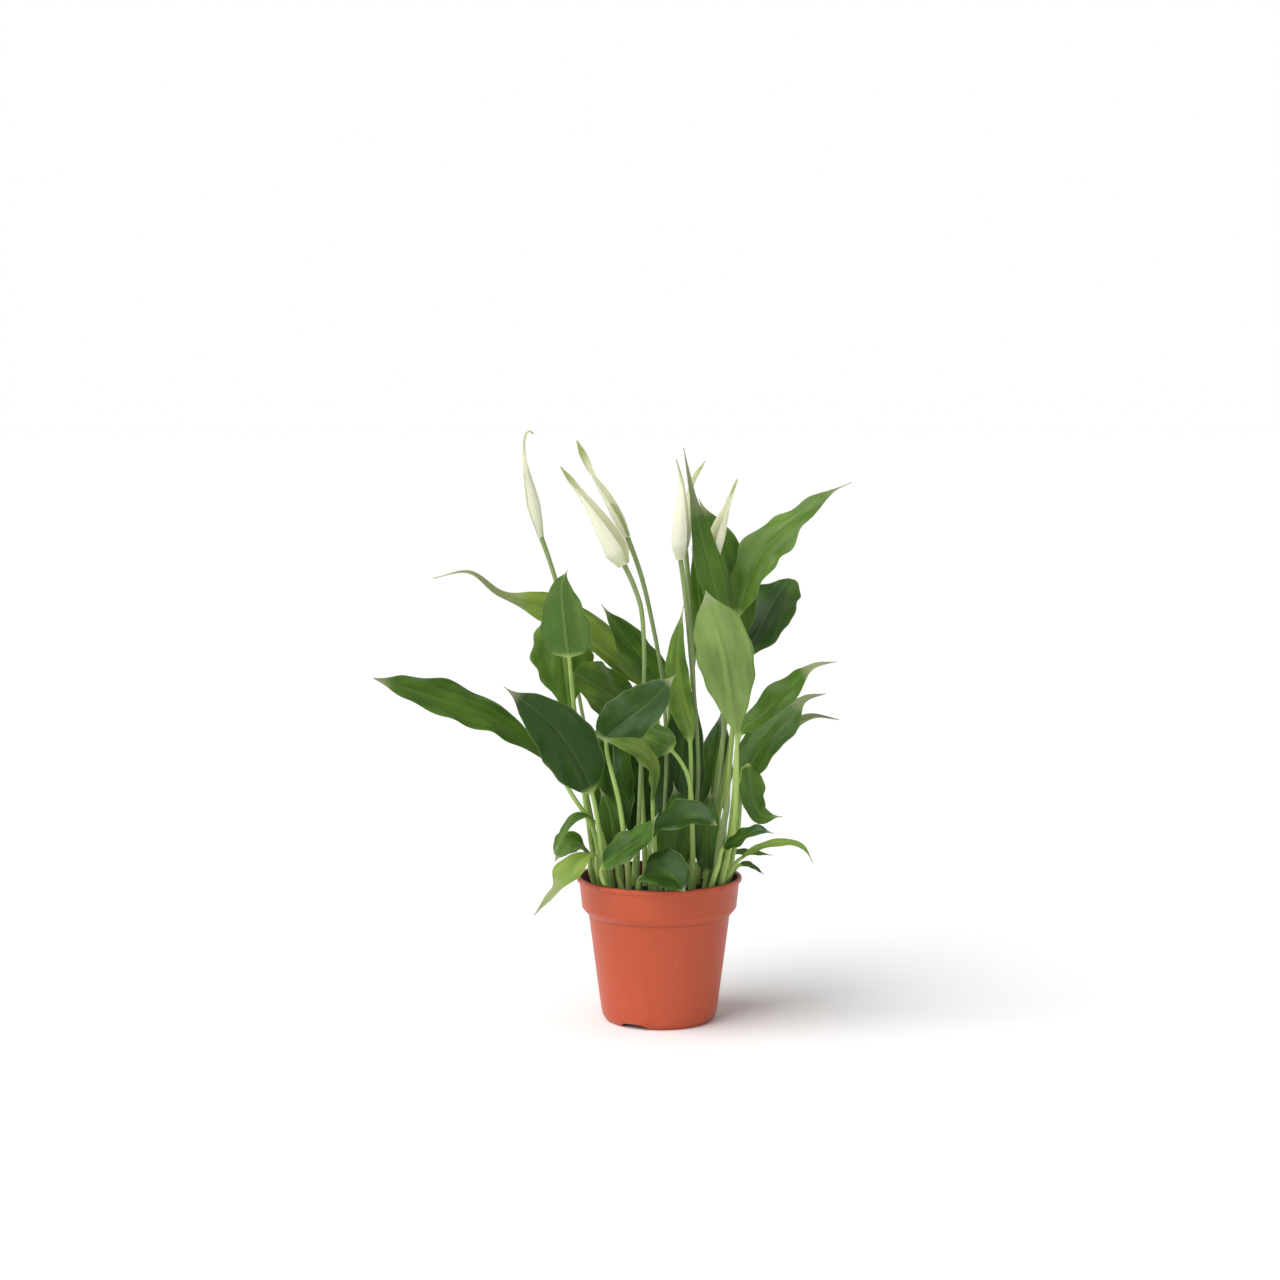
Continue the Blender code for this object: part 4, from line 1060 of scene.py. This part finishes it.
def make_crumbs(look):
    """Crumbs and short fibres of peat lying on the surface, as one piece."""
    chance = random.Random(11)
    roots = stalk_places()
    shape = bmesh.new()
    for number in range(CRUMB_COUNT):
        turn = chance.uniform(0, 2 * math.pi)
        away = (SOIL_RADIUS - 2.5) * math.sqrt(chance.random())
        x, y = away * math.cos(turn), away * math.sin(turn)
        size = chance.uniform(0.4, 1.5)
        made = bmesh.ops.create_icosphere(shape, subdivisions=1, radius=1.0)
        long = chance.uniform(1.0, 3.2) if chance.random() < 0.15 else 1.0
        heading = chance.uniform(0, math.pi)
        middle = Vector((x, y, soil_height(x, y, roots) + size * 0.25))
        for vert in made["verts"]:
            rough = 1 + 0.45 * noise.noise(vert.co * 1.7 + Vector((number, 0, 0)))
            spot = Vector((vert.co.x * long, vert.co.y / math.sqrt(long), vert.co.z * 0.8 / math.sqrt(long)))
            spot *= size * rough
            spot = Vector((spot.x * math.cos(heading) - spot.y * math.sin(heading),
                           spot.x * math.sin(heading) + spot.y * math.cos(heading), spot.z))
            vert.co = (middle + spot) * MM
    place("peat_crumbs", to_mesh("crumbs_mesh", shape), look, "peat")


# Stage

def make_stage():
    scene = bpy.context.scene
    camera = shown("camera", bpy.data.cameras.new("camera"))
    camera.data.lens = CAMERA_LENS
    camera.data.sensor_width = CAMERA_SENSOR
    camera.location = CAMERA_PLACE
    camera.rotation_euler = (math.radians(90 - CAMERA_DOWN), 0, 0)
    scene.camera = camera

    shape = bmesh.new()
    bmesh.ops.create_grid(shape, x_segments=1, y_segments=1, size=FLOOR_SIZE / 2)
    floor = shown("floor", to_mesh("floor", shape))
    look = new_material("pale_floor")
    Graph(look).finish((0.96, 0.96, 0.96), 0.7)
    floor.data.materials.append(look)

    scene.world = studio_world()
    sun = shown("key", bpy.data.lights.new("key", "SUN"))
    sun.data.energy = SUN_STRENGTH
    sun.data.angle = math.radians(SUN_WIDTH)
    sun.rotation_euler = Vector(SUN_FROM).to_track_quat("Z", "Y").to_euler()
    softbox = shown("front_left", bpy.data.lights.new("front_left", "AREA"))
    softbox.data.size = SOFTBOX_SIZE
    softbox.data.energy = SOFTBOX_POWER
    softbox.location = SOFTBOX_PLACE
    softbox.rotation_euler = (Vector(SOFTBOX_PLACE) - PLANT_MIDDLE).to_track_quat("Z", "Y").to_euler()
    scene.view_settings.view_transform = "Standard"


def studio_world():
    """White round the horizon, dimmer overhead."""
    world = bpy.data.worlds.new("studio")
    world.use_nodes = True
    nodes, links = world.node_tree.nodes, world.node_tree.links
    place = nodes.new("ShaderNodeTexCoord")
    split = nodes.new("ShaderNodeSeparateXYZ")
    fade = nodes.new("ShaderNodeMapRange")
    fade.interpolation_type = "SMOOTHSTEP"
    low, high = WORLD_FADE
    fade.inputs["From Min"].default_value = low
    fade.inputs["From Max"].default_value = high
    fade.inputs["To Min"].default_value = WORLD_HORIZON
    fade.inputs["To Max"].default_value = WORLD_OVERHEAD
    links.new(place.outputs["Generated"], split.inputs[0])
    links.new(split.outputs[2], fade.inputs["Value"])
    links.new(fade.outputs[0], nodes["Background"].inputs["Strength"])
    nodes["Background"].inputs["Color"].default_value = (1.0, 1.0, 1.0, 1.0)
    return world


def main():
    make_stage()
    make_pot(pot_material())
    peat = peat_material()
    make_soil(peat)
    make_crumbs(peat)
    leaf_look = leaf_material()
    for row, tone in zip(LEAVES, TONES):
        make_leaf(row, tone, leaf_look)
    stem_look = stem_material()
    make_spear(stem_look)
    looks = (stem_look, spathe_material(), spadix_material())
    for row, green in zip(FLOWERS, SPATHE_GREENS):
        make_flower(row, green, looks)


main()
